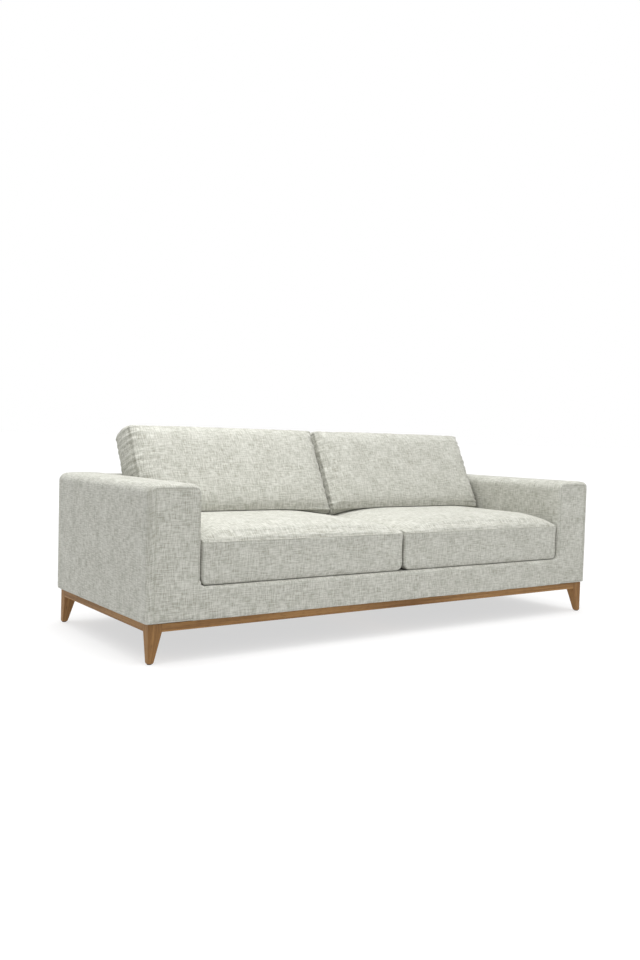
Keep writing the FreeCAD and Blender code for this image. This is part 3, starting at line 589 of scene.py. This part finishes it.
def surface(name, colour, roughness, height, nodes, bump, distance, **constants):
    """A Principled surface fed by a colour, a roughness and a height, with its other numbers set on it."""
    lift = nodes.add("ShaderNodeBump", {"Height": height, "Strength": bump, "Distance": distance})
    shader = nodes.add(
        "ShaderNodeBsdfPrincipled",
        {"Base Color": colour, "Roughness": roughness, "Normal": lift.outputs[0]},
    )
    for socket, number in constants.items():
        shader.inputs[socket.replace("_", " ").title().replace("Ior", "IOR")].default_value = number
    nodes.add("ShaderNodeOutputMaterial", {"Surface": shader.outputs[0]})
    return bpy.data.materials[name]


def new_material(name):
    """Add a material with an empty tree, and give the calls that fill it."""
    material = bpy.data.materials.new(name)
    material.use_nodes = True
    material.node_tree.nodes.clear()
    return Nodes(material.node_tree)


def opaque(colour):
    """A colour with its alpha."""
    return (*colour, 1.0)


def made_once(make):
    """Make a finish the first time it is asked for, and look it up by its name after that."""

    @functools.wraps(make)
    def made(name, *details):
        return bpy.data.materials.get(name) or make(name, *details)

    return made


def grouped(name, nodes, group, inputs, bump, distance, **constants):
    """A surface fed by the three outputs of an effect group."""
    out = nodes.add("ShaderNodeGroup", inputs, node_tree=group).outputs
    return surface(name, out["Color"], out["Roughness"], out["Height"], nodes, bump, distance, **constants)


@made_once
def cover_cloth(name):
    """The cover's oatmeal cloth, on each piece's own cloth map."""
    colours = bpy.context.scene.sofa_colours
    n = new_material(name)
    inputs = {
        "Cloth": n.add("ShaderNodeUVMap", uv_map=CLOTH_MAP).outputs[0],
        # The seam mask, which paints dust and shade along the seams.
        "Seam": n.add("ShaderNodeAttribute", attribute_name=SEAM_DUST_AND_SHADE_MASK).outputs["Fac"],
        "Pale": opaque(colours.pale),
        "Middle": opaque(colours.middle),
        "Dark": opaque(colours.dark),
    }
    return grouped(name, n, slubby_weave(), inputs, 0.55, 0.0011, sheen_weight=0.10, sheen_roughness=0.5)


@made_once
def base_timber(name):
    """Oiled timber, with the grain along each piece's own map."""
    colours = bpy.context.scene.sofa_colours
    n = new_material(name)
    inputs = {
        "Place": n.add("ShaderNodeUVMap", uv_map=CLOTH_MAP).outputs[0],
        "Pale": opaque(colours.timber_pale),
        "Dark": opaque(colours.timber_dark),
        "Pore": 0.6,
    }
    return grouped(name, n, timber_grain(), inputs, 0.35, 0.0004, specular_ior_level=0.3)


# Finishes of the carried-over parts ----------------------------------------------------------


@made_once
def plain_weave(name, colour, pitch):
    """A flat cloth on Object coordinates: two threads at right angles, and slow shading."""
    n = new_material(name)
    place = n.add("ShaderNodeTexCoord").outputs["Object"]
    parts = n.add("ShaderNodeSeparateXYZ", {0: place}).outputs
    waves = [n.math("SINE", n.math("MULTIPLY", parts[axis], 2 * math.pi / pitch)) for axis in (0, 1)]
    height = n.math("MULTIPLY", waves[0], waves[1])
    shade = n.stretched(place, (60, 60, 60), 3.0)
    dark = tuple(0.72 * part for part in colour)
    mixed = n.mix(n.spread(shade, 0.3, 0.7), opaque(dark), opaque(colour))
    return surface(name, mixed, n.spread(shade, 0.3, 0.7, 0.82, 0.95), height, n, 0.4, 0.0004)


@made_once
def grained_board(name, pale, dark, scale):
    """Sawn or pressed board on Object coordinates: the timber grain group with its own colours."""
    n = new_material(name)
    place = n.add("ShaderNodeTexCoord").outputs["Object"]
    mapped = n.add("ShaderNodeMapping", {"Vector": place, "Scale": scale}).outputs[0]
    inputs = {"Place": mapped, "Pale": opaque(pale), "Dark": opaque(dark), "Pore": 0.3}
    return grouped(name, n, timber_grain(), inputs, 0.4, 0.0005)


@made_once
def smooth_stuff(name, colour, low_rough, high_rough, metallic=0.0, cell=300.0):
    """Metal, plastic or foam on Object coordinates: fine mottling of colour, gloss and height."""
    n = new_material(name)
    place = n.add("ShaderNodeTexCoord").outputs["Object"]
    shade = n.stretched(place, (cell, cell, cell), 3.0)
    dark = tuple(0.7 * part for part in colour)
    mixed = n.mix(n.spread(shade, 0.3, 0.7), opaque(dark), opaque(colour))
    rough = n.spread(shade, 0.3, 0.7, low_rough, high_rough)
    return surface(name, mixed, rough, shade, n, 0.3, 0.0004, metallic=metallic)


EVEN, LONG = (3, 3, 3), (1, 1, 1)
FINISHES = (
    (("foot_glides",), smooth_stuff, ("glide_plastic", (0.05, 0.04, 0.035), 0.45, 0.65)),
    (
        ("base_bolts", "seat_springs", "spring_clips"),
        smooth_stuff,
        ("spring_steel", (0.5, 0.5, 0.5), 0.28, 0.45, 1.0),
    ),
    (("dust_cover",), plain_weave, ("dust_cloth", (0.035, 0.035, 0.035), 0.0012)),
    (("deck_cloth",), plain_weave, ("lining_cloth", (0.5, 0.5, 0.46), 0.0011)),
    (("back_webbing",), plain_weave, ("webbing", (0.30, 0.28, 0.24), 0.0030)),
    (("seat_cushion_zip", "back_cushion_zip"), plain_weave, ("zip_tape", (0.45, 0.45, 0.42), 0.0016)),
    (("deck_foam",), smooth_stuff, ("foam", (0.78, 0.74, 0.58), 0.85, 0.97)),
    (
        ("arm_inner_board", "arm_outer_board", "back_outer_board"),
        grained_board,
        ("hardboard", (0.26, 0.15, 0.08), (0.16, 0.09, 0.045), EVEN),
    ),
    (("arm_",), grained_board, ("plywood", (0.62, 0.45, 0.27), (0.42, 0.28, 0.15), LONG)),
    (("base_",), grained_board, ("base_inner_timber", (0.42, 0.24, 0.10), (0.24, 0.12, 0.045), LONG)),
    (("",), grained_board, ("frame_timber", (0.60, 0.42, 0.24), (0.42, 0.27, 0.14), LONG)),
)


# Sizes of the pieces, and places that they share ----------------------------------------------

ARM_FRONT_TOP_ROLL, ARM_FRONT_ROLL_LENGTH = 0.013, 0.020
ARM_REAR_TOP_ROLL, ARM_REAR_ROLL_LENGTH = 0.026, 0.016
ARM_REAR_INNER_ROLL, ARM_REAR_OUTER_ROLL = 0.003, 0.009
ARM_TOP_INNER_CORNER, ARM_TOP_OUTER_CORNER = 0.032, 0.028
ARM_FOOT_CORNER = 0.008
ARM_CROWN = 0.005
ARM_SLACK = 0.0010
BORDER_LAP = 0.028
BORDER_TOP_CORNER, BORDER_REAR_CORNER = 0.014, 0.004
BORDER_SLACK = 0.0008
BACK_TOP_THICKNESS = 0.146
BACK_TOP_FRONT_CORNER, BACK_TOP_REAR_CORNER, BACK_FOOT_CORNER = 0.028, 0.026, 0.003
BACK_TUCK = 0.006
BACK_SLACK = 0.0009
PANEL_RIM, PANEL_CORNER, PANEL_LAP = 0.004, 0.006, 0.005
PANEL_CROWN, PANEL_SLACK = 0.0022, 0.0007
SEAT_CROWN = 0.050
SEAT_CROWN_SPARE = 0.007
SEAT_CROWN_RUN, SEAT_CROWN_MIDDLE_RUN, SEAT_CROWN_OUTER_RUN, SEAT_CROWN_REAR_RUN = 0.150, 0.33, 0.20, 0.10
SEAT_CORNER = 0.012
SEAT_FOOT_INNER_ROLL, SEAT_FOOT_OUTER_ROLL = 0.032, 0.020
SEAT_FOOT_FRONT_ROLL, SEAT_FOOT_REAR_ROLL, SEAT_FOOT_ROLL_HEIGHT = 0.010, 0.024, 0.030
SEAT_OVERHANG = 0.005
SEAT_SLACK = 0.0016
SEAT_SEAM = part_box("seat_cushion_cover_left")[1][2] - SEAT_CROWN
CUSHION_LEAN = math.radians(27)
CUSHION_BOXING = 0.115
CUSHION_CORNER = 0.014
CUSHION_FOOT = 0.157
CUSHION_SUNK = 0.014
CUSHION_WIDER, CUSHION_PROUD = 0.010, 0.011
CUSHION_FRONT_TURN, CUSHION_REAR_TURN = 0.009, 0.006
CUSHION_FRONT_CROWN, CUSHION_REAR_CROWN, CUSHION_CROWN_RUN = 0.032, 0.018, 0.15
CUSHION_SLACK = 0.002
GAP = 0.0004
TIMBER_EASE = 0.0018
LEG_FOOT = 0.021


def back_front(z, low, high):
    """Y of the inner back's face at a height: a straight lean between its foot and its top."""
    top = high[1] - BACK_TOP_THICKNESS
    return low[1] + (top - low[1]) * (z - low[2]) / (high[2] - low[2])


def quarter(share):
    """A quarter of an ellipse: steep at 0 and level at 1."""
    return np.sqrt(np.clip(1 - (1 - np.clip(share, 0, 1)) ** 2, 0, 1))


def seat_rise(x, y):
    """Height of a seat cushion's top over its seam: quarters of ellipses in from its four sides, multiplied.

    The rise is longest from the middle of the sofa, where the two cushions fall away to each other.
    """
    low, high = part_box("seat_cushion_cover_right")
    from_middle = quarter((np.abs(x) - low[0]) / SEAT_CROWN_MIDDLE_RUN)
    across = from_middle * quarter((high[0] - np.abs(x)) / SEAT_CROWN_OUTER_RUN)
    from_front = quarter((y - low[1]) / SEAT_CROWN_RUN)
    from_rear = quarter((high[1] - y) / SEAT_CROWN_REAR_RUN)
    return (SEAT_CROWN + SEAT_CROWN_SPARE) * across * from_front * from_rear


# Operators -----------------------------------------------------------------------------------


def upholster(name, form, body, replaces, dust_and_shade_away=None, smoothing=0, creased=False):
    """A piece in the cover's cloth."""
    cloth = cover_cloth("oatmeal_weave")
    piece = add_piece(name, form, cloth, body, replaces, dust_and_shade_away, smoothing, creased)


class SOFA_OT_arms(bpy.types.Operator):
    """Two padded arms, each a rounded tube of cloth with a sewn front panel"""

    bl_idname = "sofa.arms"
    bl_label = "Arms"

    def execute(self, context):
        """The outline is the arm seen from the front, and the levels run from the rear to the front."""
        shape = context.scene.sofa_upholstery
        for name, side in SIDES:
            low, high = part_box(f"arm_cover_{name}")
            box = (low[0], high[0], low[2], high[2])
            front_rolls = (shape.inner_roll, shape.outer_roll)[::side]
            rear_rolls = (ARM_REAR_INNER_ROLL, ARM_REAR_OUTER_ROLL)[::side]
            front = (*front_rolls, shape.hem_roll, ARM_FRONT_TOP_ROLL, ARM_FRONT_ROLL_LENGTH)
            rear = (*rear_rolls, shape.hem_roll, ARM_REAR_TOP_ROLL, ARM_REAR_ROLL_LENGTH)
            boxes, height = rolled_levels(box, -high[1], -low[1], front, graded(74, 0.3), rear)
            top = (ARM_TOP_INNER_CORNER, ARM_TOP_OUTER_CORNER)[::side]
            radii = shrunk_radii(boxes, box, (ARM_FOOT_CORNER, ARM_FOOT_CORNER, top[1], top[0]))
            form = closed_form(boxes, height, radii, (graded(14), graded(34)))
            a, b, c = form.verts.T
            form.verts = np.stack([a, -c, b], -1)
            tube = np.clip((form.profile_end - form.profile) / 0.04, 0, 1) * (form.profile > 0)
            across = np.clip((a - low[0]) / (high[0] - low[0]), 0, 1)
            on_top = np.sin(np.pi * across) * np.clip((b - high[2] + 0.01) / 0.01, 0, 1)
            slack = ARM_SLACK * unevenness(form.verts, 0.21, 11 + side)
            push(form, (slack + ARM_CROWN * on_top) * tube)
            away = sewn(form, [form.profile_end + 0.001], shape.seam_depth * 0.6, 0.003)
            # Painted shade: a dark band along the arm's outer front corner, fading out towards the bottom,
            # laid into the seam mask.
            edge = (high[0] - form.verts[:, 0]) if side > 0 else (form.verts[:, 0] - low[0])
            corner = np.hypot(edge, form.verts[:, 1] - low[1])
            painted_corner_shade = bump_at(corner - 0.010, 0.014) * np.clip((form.verts[:, 2] - 0.22) / 0.2, 0, 1)
            away = np.minimum(away, bell_distance(0.8 * painted_corner_shade, SEAM_SHADE))
            stands_for = (f"arm_cover_{name}", f"arm_padding_{name}")
            upholster(f"arm_upholstery_{name}", form, "frame", stands_for, away)
        return {"FINISHED"}


class SOFA_OT_front_border(bpy.types.Operator):
    """The front border, whose top edge turns up in a gusset where it meets the arms"""

    bl_idname = "sofa.front_border"
    bl_label = "Front border"

    def execute(self, context):
        """The outline is the border's section, and the levels run from arm to arm.

        At each end the top climbs a quarter circle into the arm's inner face.
        """
        shape = context.scene.sofa_upholstery
        low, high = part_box("front_border_cover")
        rise = shape.gusset
        angle = np.linspace(0, np.pi / 2, 11)
        rising = high[0] - rise + rise * np.sin(angle)
        run = (high[0] - rise) * (2 * graded(120, 0.0) - 1)
        ends = np.array([high[0] + BORDER_LAP / 2, high[0] + BORDER_LAP])
        half = np.concatenate([rising, ends])
        x = np.concatenate([-half[::-1], run, half])
        climb = np.concatenate([rise * (1 - np.cos(angle)), [rise, rise]])
        tops = high[2] + np.concatenate([climb[::-1], np.zeros(len(run)), climb])
        rest = np.ones(len(x))
        box = np.stack([rest * low[1] - 0.0002, rest * high[1], rest * low[2] + GAP, tops], -1)
        corners = [shape.hem_roll, BORDER_REAR_CORNER, BORDER_REAR_CORNER, BORDER_TOP_CORNER]
        radii = np.broadcast_to(corners, (len(x), 4))
        form = closed_form(box, x, radii, (graded(8), graded(16)), 10)
        a, b, c = form.verts.T
        form.verts = np.stack([c, a, b], -1)
        form.cloth = front_map(form, low[1])
        front = np.clip((low[1] + 0.02 - form.verts[:, 1]) / 0.02, 0, 1)
        inside = np.clip((high[0] - 0.04 - np.abs(form.verts[:, 0])) / 0.1, 0, 1)
        push(form, (0.0012 + BORDER_SLACK * unevenness(form.verts, 0.26, 31)) * front * inside)
        stands_for = ("front_border_cover", "front_border_padding")
        upholster("front_border_upholstery", form, "frame", stands_for, creased=True)
        return {"FINISHED"}


class SOFA_OT_back(bpy.types.Operator):
    """The padded inner back between the arms, and the plain outer back behind it"""

    bl_idname = "sofa.back"
    bl_label = "Back"

    def execute(self, context):
        """The inner back's section is a rectangle whose front leans to the thickness at each height."""
        shape = context.scene.sofa_upholstery
        low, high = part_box("back_inner_cover")
        x = (high[0] + BACK_TUCK) * np.linspace(-1, 1, 130)
        box = (high[1] - BACK_TOP_THICKNESS, high[1], low[2], high[2])
        boxes = np.repeat([box], len(x), 0)
        corners = [BACK_FOOT_CORNER, BACK_FOOT_CORNER, BACK_TOP_REAR_CORNER, BACK_TOP_FRONT_CORNER]
        form = closed_form(boxes, x, np.broadcast_to(corners, (len(x), 4)), (graded(12), graded(26)), 12)
        a, b, c = form.verts.T
        share = np.clip((high[2] - b) / (high[2] - low[2]), 0, 1)
        thickness = BACK_TOP_THICKNESS + (high[1] - low[1] - BACK_TOP_THICKNESS) * share
        form.verts = np.stack([c, high[1] - (high[1] - a) * thickness / BACK_TOP_THICKNESS, b], -1)
        upper = np.clip((form.verts[:, 2] - high[2] + 0.08) / 0.06, 0, 1)
        push(form, BACK_SLACK * unevenness(form.verts, 0.23, 41) * upper)
        upholster("back_upholstery", form, "frame", ("back_inner_cover", "back_padding"))

        low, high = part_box("back_outer_cover")
        box = (-high[0] - PANEL_LAP, high[0] + PANEL_LAP, low[2] + GAP, high[2])
        boxes, height = rolled_levels(
            box, low[1] - 0.003, high[1] + 0.0012, (PANEL_RIM,) * 5, graded(2), None, 4
        )
        radii = shrunk_radii(boxes, box, (PANEL_CORNER,) * 4)
        form = closed_form(boxes, height, radii, (graded(110, 0.4), graded(34, 0.4)))
        a, b, c = form.verts.T
        form.verts = np.stack([-a, c, b], -1)
        inner = np.clip(edge_distance(form.plan, form.reach).min(1) / 0.09, 0, 1)
        outward = (form.verts[:, 1] > high[1] - 0.001).astype(float)
        slack = PANEL_SLACK * unevenness(form.verts, 0.24, 51) * inner
        push(form, outward * (PANEL_CROWN * np.sin(inner * np.pi / 2) + slack))
        away = sewn(form, [form.profile_end], shape.seam_depth * 0.5, 0.003)
        upholster("outer_back_panel", form, "frame", ("back_outer_cover",), dust_and_shade_away=away)
        return {"FINISHED"}


class SOFA_OT_seat_cushions(bpy.types.Operator):
    """Two boxed seat cushions with a crowned top, swollen by simulation and gathered at their seams"""

    bl_idname = "sofa.seat_cushions"
    bl_label = "Seat cushions"

    def execute(self, context):
        """The outline is the cushion seen from above, and the levels run from its underside to its seam."""
        shape = context.scene.sofa_upholstery
        for name, side in SIDES:
            low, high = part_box(f"seat_cushion_cover_{name}")
            trim = 0.0008
            box = (low[0] + trim, high[0] - trim, low[1] - SEAT_OVERHANG, high[1] - trim)
            angle = np.linspace(0, np.pi / 2, 8)
            ends = (SEAT_FOOT_INNER_ROLL, SEAT_FOOT_OUTER_ROLL)[::side]
            roll = np.array([*ends, SEAT_FOOT_FRONT_ROLL, SEAT_FOOT_REAR_ROLL])
            inset = roll[None] * (1 - np.sin(angle))[:, None]
            foot = low[2] + 0.001
            rolled = foot + SEAT_FOOT_ROLL_HEIGHT * (1 - np.cos(angle))
            wall = rolled[-1] + (SEAT_SEAM - rolled[-1]) * np.linspace(0, 1, 17)[1:]
            height = np.concatenate([rolled, wall])
            inset = np.concatenate([inset, np.zeros((len(wall), 4))])
            boxes = np.array(box)[None] + inset * [1, -1, 1, -1]
            radii = shrunk_radii(boxes, box, (SEAT_CORNER,) * 4, 0.005)
            form = closed_form(boxes, height, radii, (graded(92), graded(54)), 8)
            top = form.profile > form.profile_end
            rise = seat_rise(form.verts[:, 0], form.verts[:, 1])
            form.verts[:, 2] += np.where(top, rise * (1 - 0.35 * shape.give / SEAT_CROWN), 0)
            seam = form.profile_end
            swell(form, form.profile < -0.004, [0.0, seam], shape.give, shape.pressure, shape.frames)
            from_middle = np.abs(form.plan[:, 0] - (low[0] + high[0]) / 2)
            corner = np.exp(-np.maximum(0.9 - 2 * from_middle, 0) / 0.35)
            folds = gathers(form, seam, 0.030, 0.030, 61 + side, (1.0, 0.6, 0.4, 0.6))
            push(form, shape.pucker * folds * (0.5 + 1.2 * corner))
            push(form, SEAT_SLACK * unevenness(form.verts, 0.25, 71 + side) * (form.profile > 0))
            away = sewn(form, [seam], shape.seam_depth)
            x, y, z = form.verts.T
            x = below(above(x, low[0] + GAP), high[0] - GAP)
            y = below(y, high[1] - 0.001)
            z = below(above(z, low[2] + GAP), SEAT_SEAM + np.where(top, rise, 0) + 0.002)
            form.verts = np.stack([x, y, z], -1)
            body = f"seat_cushion_{name}"
            stands_for = (f"seat_cushion_cover_{name}", f"seat_cushion_filling_{name}")
            upholster(body, form, body, stands_for, away, 1)
        return {"FINISHED"}


class SOFA_OT_back_cushions(bpy.types.Operator):
    """Two leaning back cushions, swollen by simulation and pressed against the seat and the back"""

    bl_idname = "sofa.back_cushions"
    bl_label = "Back cushions"

    def execute(self, context):
        """The outline is the cushion's face, and the levels run from its rear seam to its front seam.

        The form is then leaned back, its foot is held over the seat, and what would enter the back is moved
        forwards or upwards, whichever is shorter.
        """
        shape = context.scene.sofa_upholstery
        back_low, back_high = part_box("back_inner_cover")
        for name, side in SIDES:
            low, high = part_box(f"back_cushion_cover_{name}")
            rise = (high[2] - low[2]) / math.cos(CUSHION_LEAN)
            wider = (0.0, CUSHION_WIDER)[::side]
            box = (low[0] + 0.001 - wider[0], high[0] - 0.001 + wider[1], -CUSHION_SUNK, rise + 0.004)
            depth = np.linspace(-1, 0, 17)
            front_turn = CUSHION_FRONT_TURN * np.clip(1 + depth / 0.45, 0, 1) ** 2
            rear_turn = CUSHION_REAR_TURN * np.clip(1 - (1 + depth) / 0.3, 0, 1) ** 2
            share = np.array([0.3, -1, 1, -0.8] if side > 0 else [1, -0.3, 1, -0.8])
            boxes = np.array(box)[None] + (front_turn + rear_turn)[:, None] * share
            radii = np.full((len(depth), 4), CUSHION_CORNER)
            form = closed_form(boxes, depth * CUSHION_BOXING, radii, (graded(84), graded(60)), 8)
            front = form.profile > form.profile_end
            rear = form.profile < 0
            rises = np.clip(edge_distance(form.plan, form.reach) / CUSHION_CROWN_RUN, 0, 1)
            crown = np.prod(np.sqrt(np.clip(1 - (1 - rises) ** 2.6, 0, 1)), axis=1)
            form.verts[:, 2] += np.where(front, CUSHION_FRONT_CROWN * crown, 0)
            form.verts[:, 2] -= np.where(rear, CUSHION_REAR_CROWN * crown, 0)
            seams = [0.0, form.profile_end]
            swell(form, form.profile < -0.08, seams, shape.give, shape.pressure, shape.frames)
            for seam, amount in ((form.profile_end, 2.6), (0.0, 1.5)):
                folds = gathers(form, seam, 0.028, 0.05, 81 + side, (0.3, 1.0, 0.12, 1.0))
                push(form, amount * shape.pucker * folds)
            push(form, CUSHION_SLACK * unevenness(form.verts, 0.22, 91 + side))
            away = sewn(form, seams, shape.seam_depth)

            a, b, c = form.verts.T
            sine, cosine = math.sin(CUSHION_LEAN), math.cos(CUSHION_LEAN)
            foot_y = back_front(low[2], back_low, back_high) - CUSHION_FOOT
            y = foot_y + b * sine - c * cosine
            z = low[2] + b * cosine + c * sine
            z = above(z, SEAT_SEAM + seat_rise(a, np.full(len(a), foot_y)) + 0.004, 0.002)
            behind = y - (back_front(z, back_low, back_high) - 0.001)
            over = back_high[2] + 0.001 - z
            forwards = (behind > 0) & (over > 0) & (behind <= over)
            upwards = (behind > 0) & (over > 0) & ~forwards
            y = np.where(forwards, y - behind, y)
            z = np.where(upwards, z + over, z)
            if side > 0:
                x = below(above(a, low[0] + GAP), high[0] + CUSHION_PROUD)
            else:
                x = below(above(a, low[0] - CUSHION_PROUD), high[0] - GAP)
            form.verts = np.stack([x, y, z], -1)
            body = f"back_cushion_{name}"
            stands_for = (f"back_cushion_cover_{name}", f"back_cushion_filling_{name}")
            upholster(body, form, body, stands_for, away, 1)
        return {"FINISHED"}


class SOFA_OT_timber_base(bpy.types.Operator):
    """Four rails and four tapered legs, with eased edges and the grain along each"""

    bl_idname = "sofa.timber_base"
    bl_label = "Timber base"

    def timber(self, node, form):
        """A piece of the base's timber, which stands for its CAD node."""
        timber = base_timber("oiled_timber")
        add_piece(f"{node}_eased", form, timber, "frame", (node,), creased=True)

    def rail(self, node, along_x):
        """A rounded rectangle carried along the rail's length."""
        low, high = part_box(node)
        box = (low[1], high[1], low[2], high[2]) if along_x else (low[0], high[0], low[2], high[2])
        ends = (low[0], high[0]) if along_x else (-high[1], -low[1])
        height = np.linspace(ends[0], ends[1], 90)
        boxes = np.repeat([box], len(height), 0)
        radii = np.full((len(height), 4), TIMBER_EASE)
        form = closed_form(boxes, height, radii, (graded(3), graded(3)), 4)
        a, b, c = form.verts.T
        form.verts = np.stack([c, a, b], -1) if along_x else np.stack([a, -c, b], -1)
        self.timber(node, form)

    def leg(self, node, side, end):
        """A rounded square whose two inner sides run straight in from the rails' underside to the foot."""
        low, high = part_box(node)
        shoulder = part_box("base_rail_front")[0][2]
        start = [low[2], low[2] + 0.0012]
        z = np.concatenate([start, np.linspace(low[2] + 0.004, shoulder, 14), [high[2]]])
        share = np.clip((shoulder - z) / (shoulder - low[2]), 0, 1)
        wide = (high[0] - low[0]) * (1 - share) + LEG_FOOT * share
        deep = (high[1] - low[1]) * (1 - share) + LEG_FOOT * share
        chamfer = np.clip(1 - (z - low[2]) / 0.003, 0, 1) * 0.0015
        x_low = high[0] - wide if side > 0 else np.full(len(z), low[0])
        y_low = high[1] - deep if end > 0 else np.full(len(z), low[1])
        boxes = np.stack([x_low, x_low + wide, y_low, y_low + deep], -1) + chamfer[:, None] * [1, -1, 1, -1]
        radii = np.full((len(z), 4), TIMBER_EASE)
        self.timber(node, closed_form(boxes, z, radii, (graded(4), graded(4)), 4))

    def execute(self, context):
        """The rails come first, and then the legs under their corners."""
        for name in ("front", "back", "left", "right"):
            self.rail(f"base_rail_{name}", name in ("front", "back"))
        for name, side in SIDES:
            for end_name, end in (("front", -1), ("back", 1)):
                self.leg(f"leg_{end_name}_{name}", side, end)
        return {"FINISHED"}


class SOFA_OT_hidden_parts(bpy.types.Operator):
    """Finishes of the carried-over parts inside and under the sofa"""

    bl_idname = "sofa.hidden_parts"
    bl_label = "Hidden parts"

    def execute(self, context):
        """Each node takes the finish whose words start its name."""
        for name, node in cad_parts.items():
            if node.hide_render:
                continue
            make, details = next(row[1:] for row in FINISHES if name.startswith(row[0]))
            for slot in node.material_slots:
                slot.material = make(*details)
        return {"FINISHED"}


FLOOR = 400.0
FLOOR_GLOW = 0.62
LAMPS = (
    ("front_softbox", (0.6, -4.2, 2.4), (0, 0, 0.4), 2.6, 24.0),
    ("upper_softbox", (-0.9, -0.3, 2.1), (0.95, 0, 0.45), 0.9, 14.0),
)


class SOFA_OT_studio(bpy.types.Operator):
    """Pale floor, soft lamps and the camera"""

    bl_idname = "sofa.studio"
    bl_label = "Studio"

    def execute(self, context):
        """The camera looks along its turn and tilt, rolled about its own axis.

        The dome's strength is an even part and a part that grows with the sixth power of the upward
        direction, and it looks plain white behind the sofa.
        """
        studio = context.scene.sofa_studio
        scene = context.scene
        mesh = bpy.data.meshes.new("studio_floor")
        corners = [(-FLOOR, -FLOOR, 0), (FLOOR, -FLOOR, 0), (FLOOR, FLOOR, 0), (-FLOOR, FLOOR, 0)]
        mesh.from_pydata(corners, [], [(0, 1, 2, 3)])
        floor = bpy.data.objects.new("studio_floor", mesh)
        scene.collection.objects.link(floor)
        n = new_material("pale_floor")
        place = n.add("ShaderNodeTexCoord").outputs["Object"]
        shade = n.spread(n.stretched(place, (0.7, 0.7, 1)), 0.3, 0.7)
        colour = n.mix(shade, (0.29, 0.29, 0.29, 1), (0.31, 0.31, 0.31, 1))
        table = surface("pale_floor", colour, 0.9, shade, n, 0.0, 0.001)
        glow = table.node_tree.nodes["Principled BSDF"].inputs
        glow["Emission Color"].default_value = (1, 1, 1, 1)
        glow["Emission Strength"].default_value = FLOOR_GLOW
        floor.data.materials.append(table)

        world = bpy.data.worlds.new("studio_dome")
        world.use_nodes = True
        world.node_tree.nodes.clear()
        n = Nodes(world.node_tree)
        up = n.add("ShaderNodeSeparateXYZ", {0: n.add("ShaderNodeTexCoord").outputs["Generated"]}).outputs[2]
        overhead = n.math("POWER", n.math("MAXIMUM", up, 0.0), 6.0)
        strength = n.math("ADD", n.math("MULTIPLY", overhead, studio.zenith), studio.dome)
        seen = n.add("ShaderNodeLightPath").outputs["Is Camera Ray"]
        strength = n.math("MAXIMUM", strength, seen)
        light = n.add("ShaderNodeBackground", {"Color": (1, 1, 1, 1), "Strength": strength})
        n.add("ShaderNodeOutputWorld", {"Surface": light.outputs[0]})
        scene.world = world
        scene.view_settings.view_transform = "Standard"

        for name, place, target, size, power in LAMPS:
            lamp = bpy.data.objects.new(name, bpy.data.lights.new(name, "AREA"))
            lamp.data.size = size
            lamp.data.energy = power
            lamp.location = place
            lamp.rotation_euler = (Vector(target) - lamp.location).to_track_quat("-Z", "Y").to_euler()
            lamp.visible_camera = False
            scene.collection.objects.link(lamp)

        turn, tilt, roll = studio.camera_turn
        ahead = np.array([math.sin(turn) * math.cos(tilt), math.cos(turn) * math.cos(tilt), -math.sin(tilt)])
        level = np.array([math.cos(turn), -math.sin(turn), 0])
        down = np.cross(ahead, level)
        right = math.cos(roll) * level + math.sin(roll) * down
        down = -math.sin(roll) * level + math.cos(roll) * down
        camera = bpy.data.objects.new("camera", bpy.data.cameras.new("camera"))
        camera.data.lens = studio.focal_length
        turned = Matrix(np.stack([right, -down, -ahead], -1).tolist()).to_4x4()
        camera.matrix_world = Matrix.Translation(studio.camera_place) @ turned
        scene.collection.objects.link(camera)
        scene.camera = camera
        return {"FINISHED"}


class SOFA_PT_panel(bpy.types.Panel):
    """Steps that make the sofa, in order"""

    bl_idname = "SOFA_PT_panel"
    bl_label = "Sofa"
    bl_space_type = "VIEW_3D"
    bl_region_type = "UI"
    bl_category = "Sofa"

    def draw(self, context):
        """One button for each step."""
        for operator in OPERATORS:
            self.layout.operator(operator.bl_idname)


OPERATORS = (
    SOFA_OT_studio,
    SOFA_OT_arms,
    SOFA_OT_front_border,
    SOFA_OT_back,
    SOFA_OT_seat_cushions,
    SOFA_OT_back_cushions,
    SOFA_OT_timber_base,
    SOFA_OT_hidden_parts,
)
GROUPS = (
    ("sofa_upholstery", SofaUpholstery),
    ("sofa_colours", SofaColours),
    ("sofa_studio", SofaStudio),
)


def register():
    """Add the classes, and the three groups of settings on the scene."""
    for name, group in GROUPS:
        bpy.utils.register_class(group)
        setattr(bpy.types.Scene, name, PointerProperty(type=group))
    for item in (*OPERATORS, SOFA_PT_panel):
        bpy.utils.register_class(item)


def unregister():
    """Take them away again."""
    for item in (*OPERATORS, SOFA_PT_panel):
        bpy.utils.unregister_class(item)
    for name, group in GROUPS:
        delattr(bpy.types.Scene, name)
        bpy.utils.unregister_class(group)


def main():
    """Make everything in order."""
    register()
    for operator in OPERATORS:
        group, name = operator.bl_idname.split(".")
        if getattr(getattr(bpy.ops, group), name)() != {"FINISHED"}:
            raise RuntimeError(f"{operator.bl_label} did not finish")


if __name__ == "__main__":
    main()
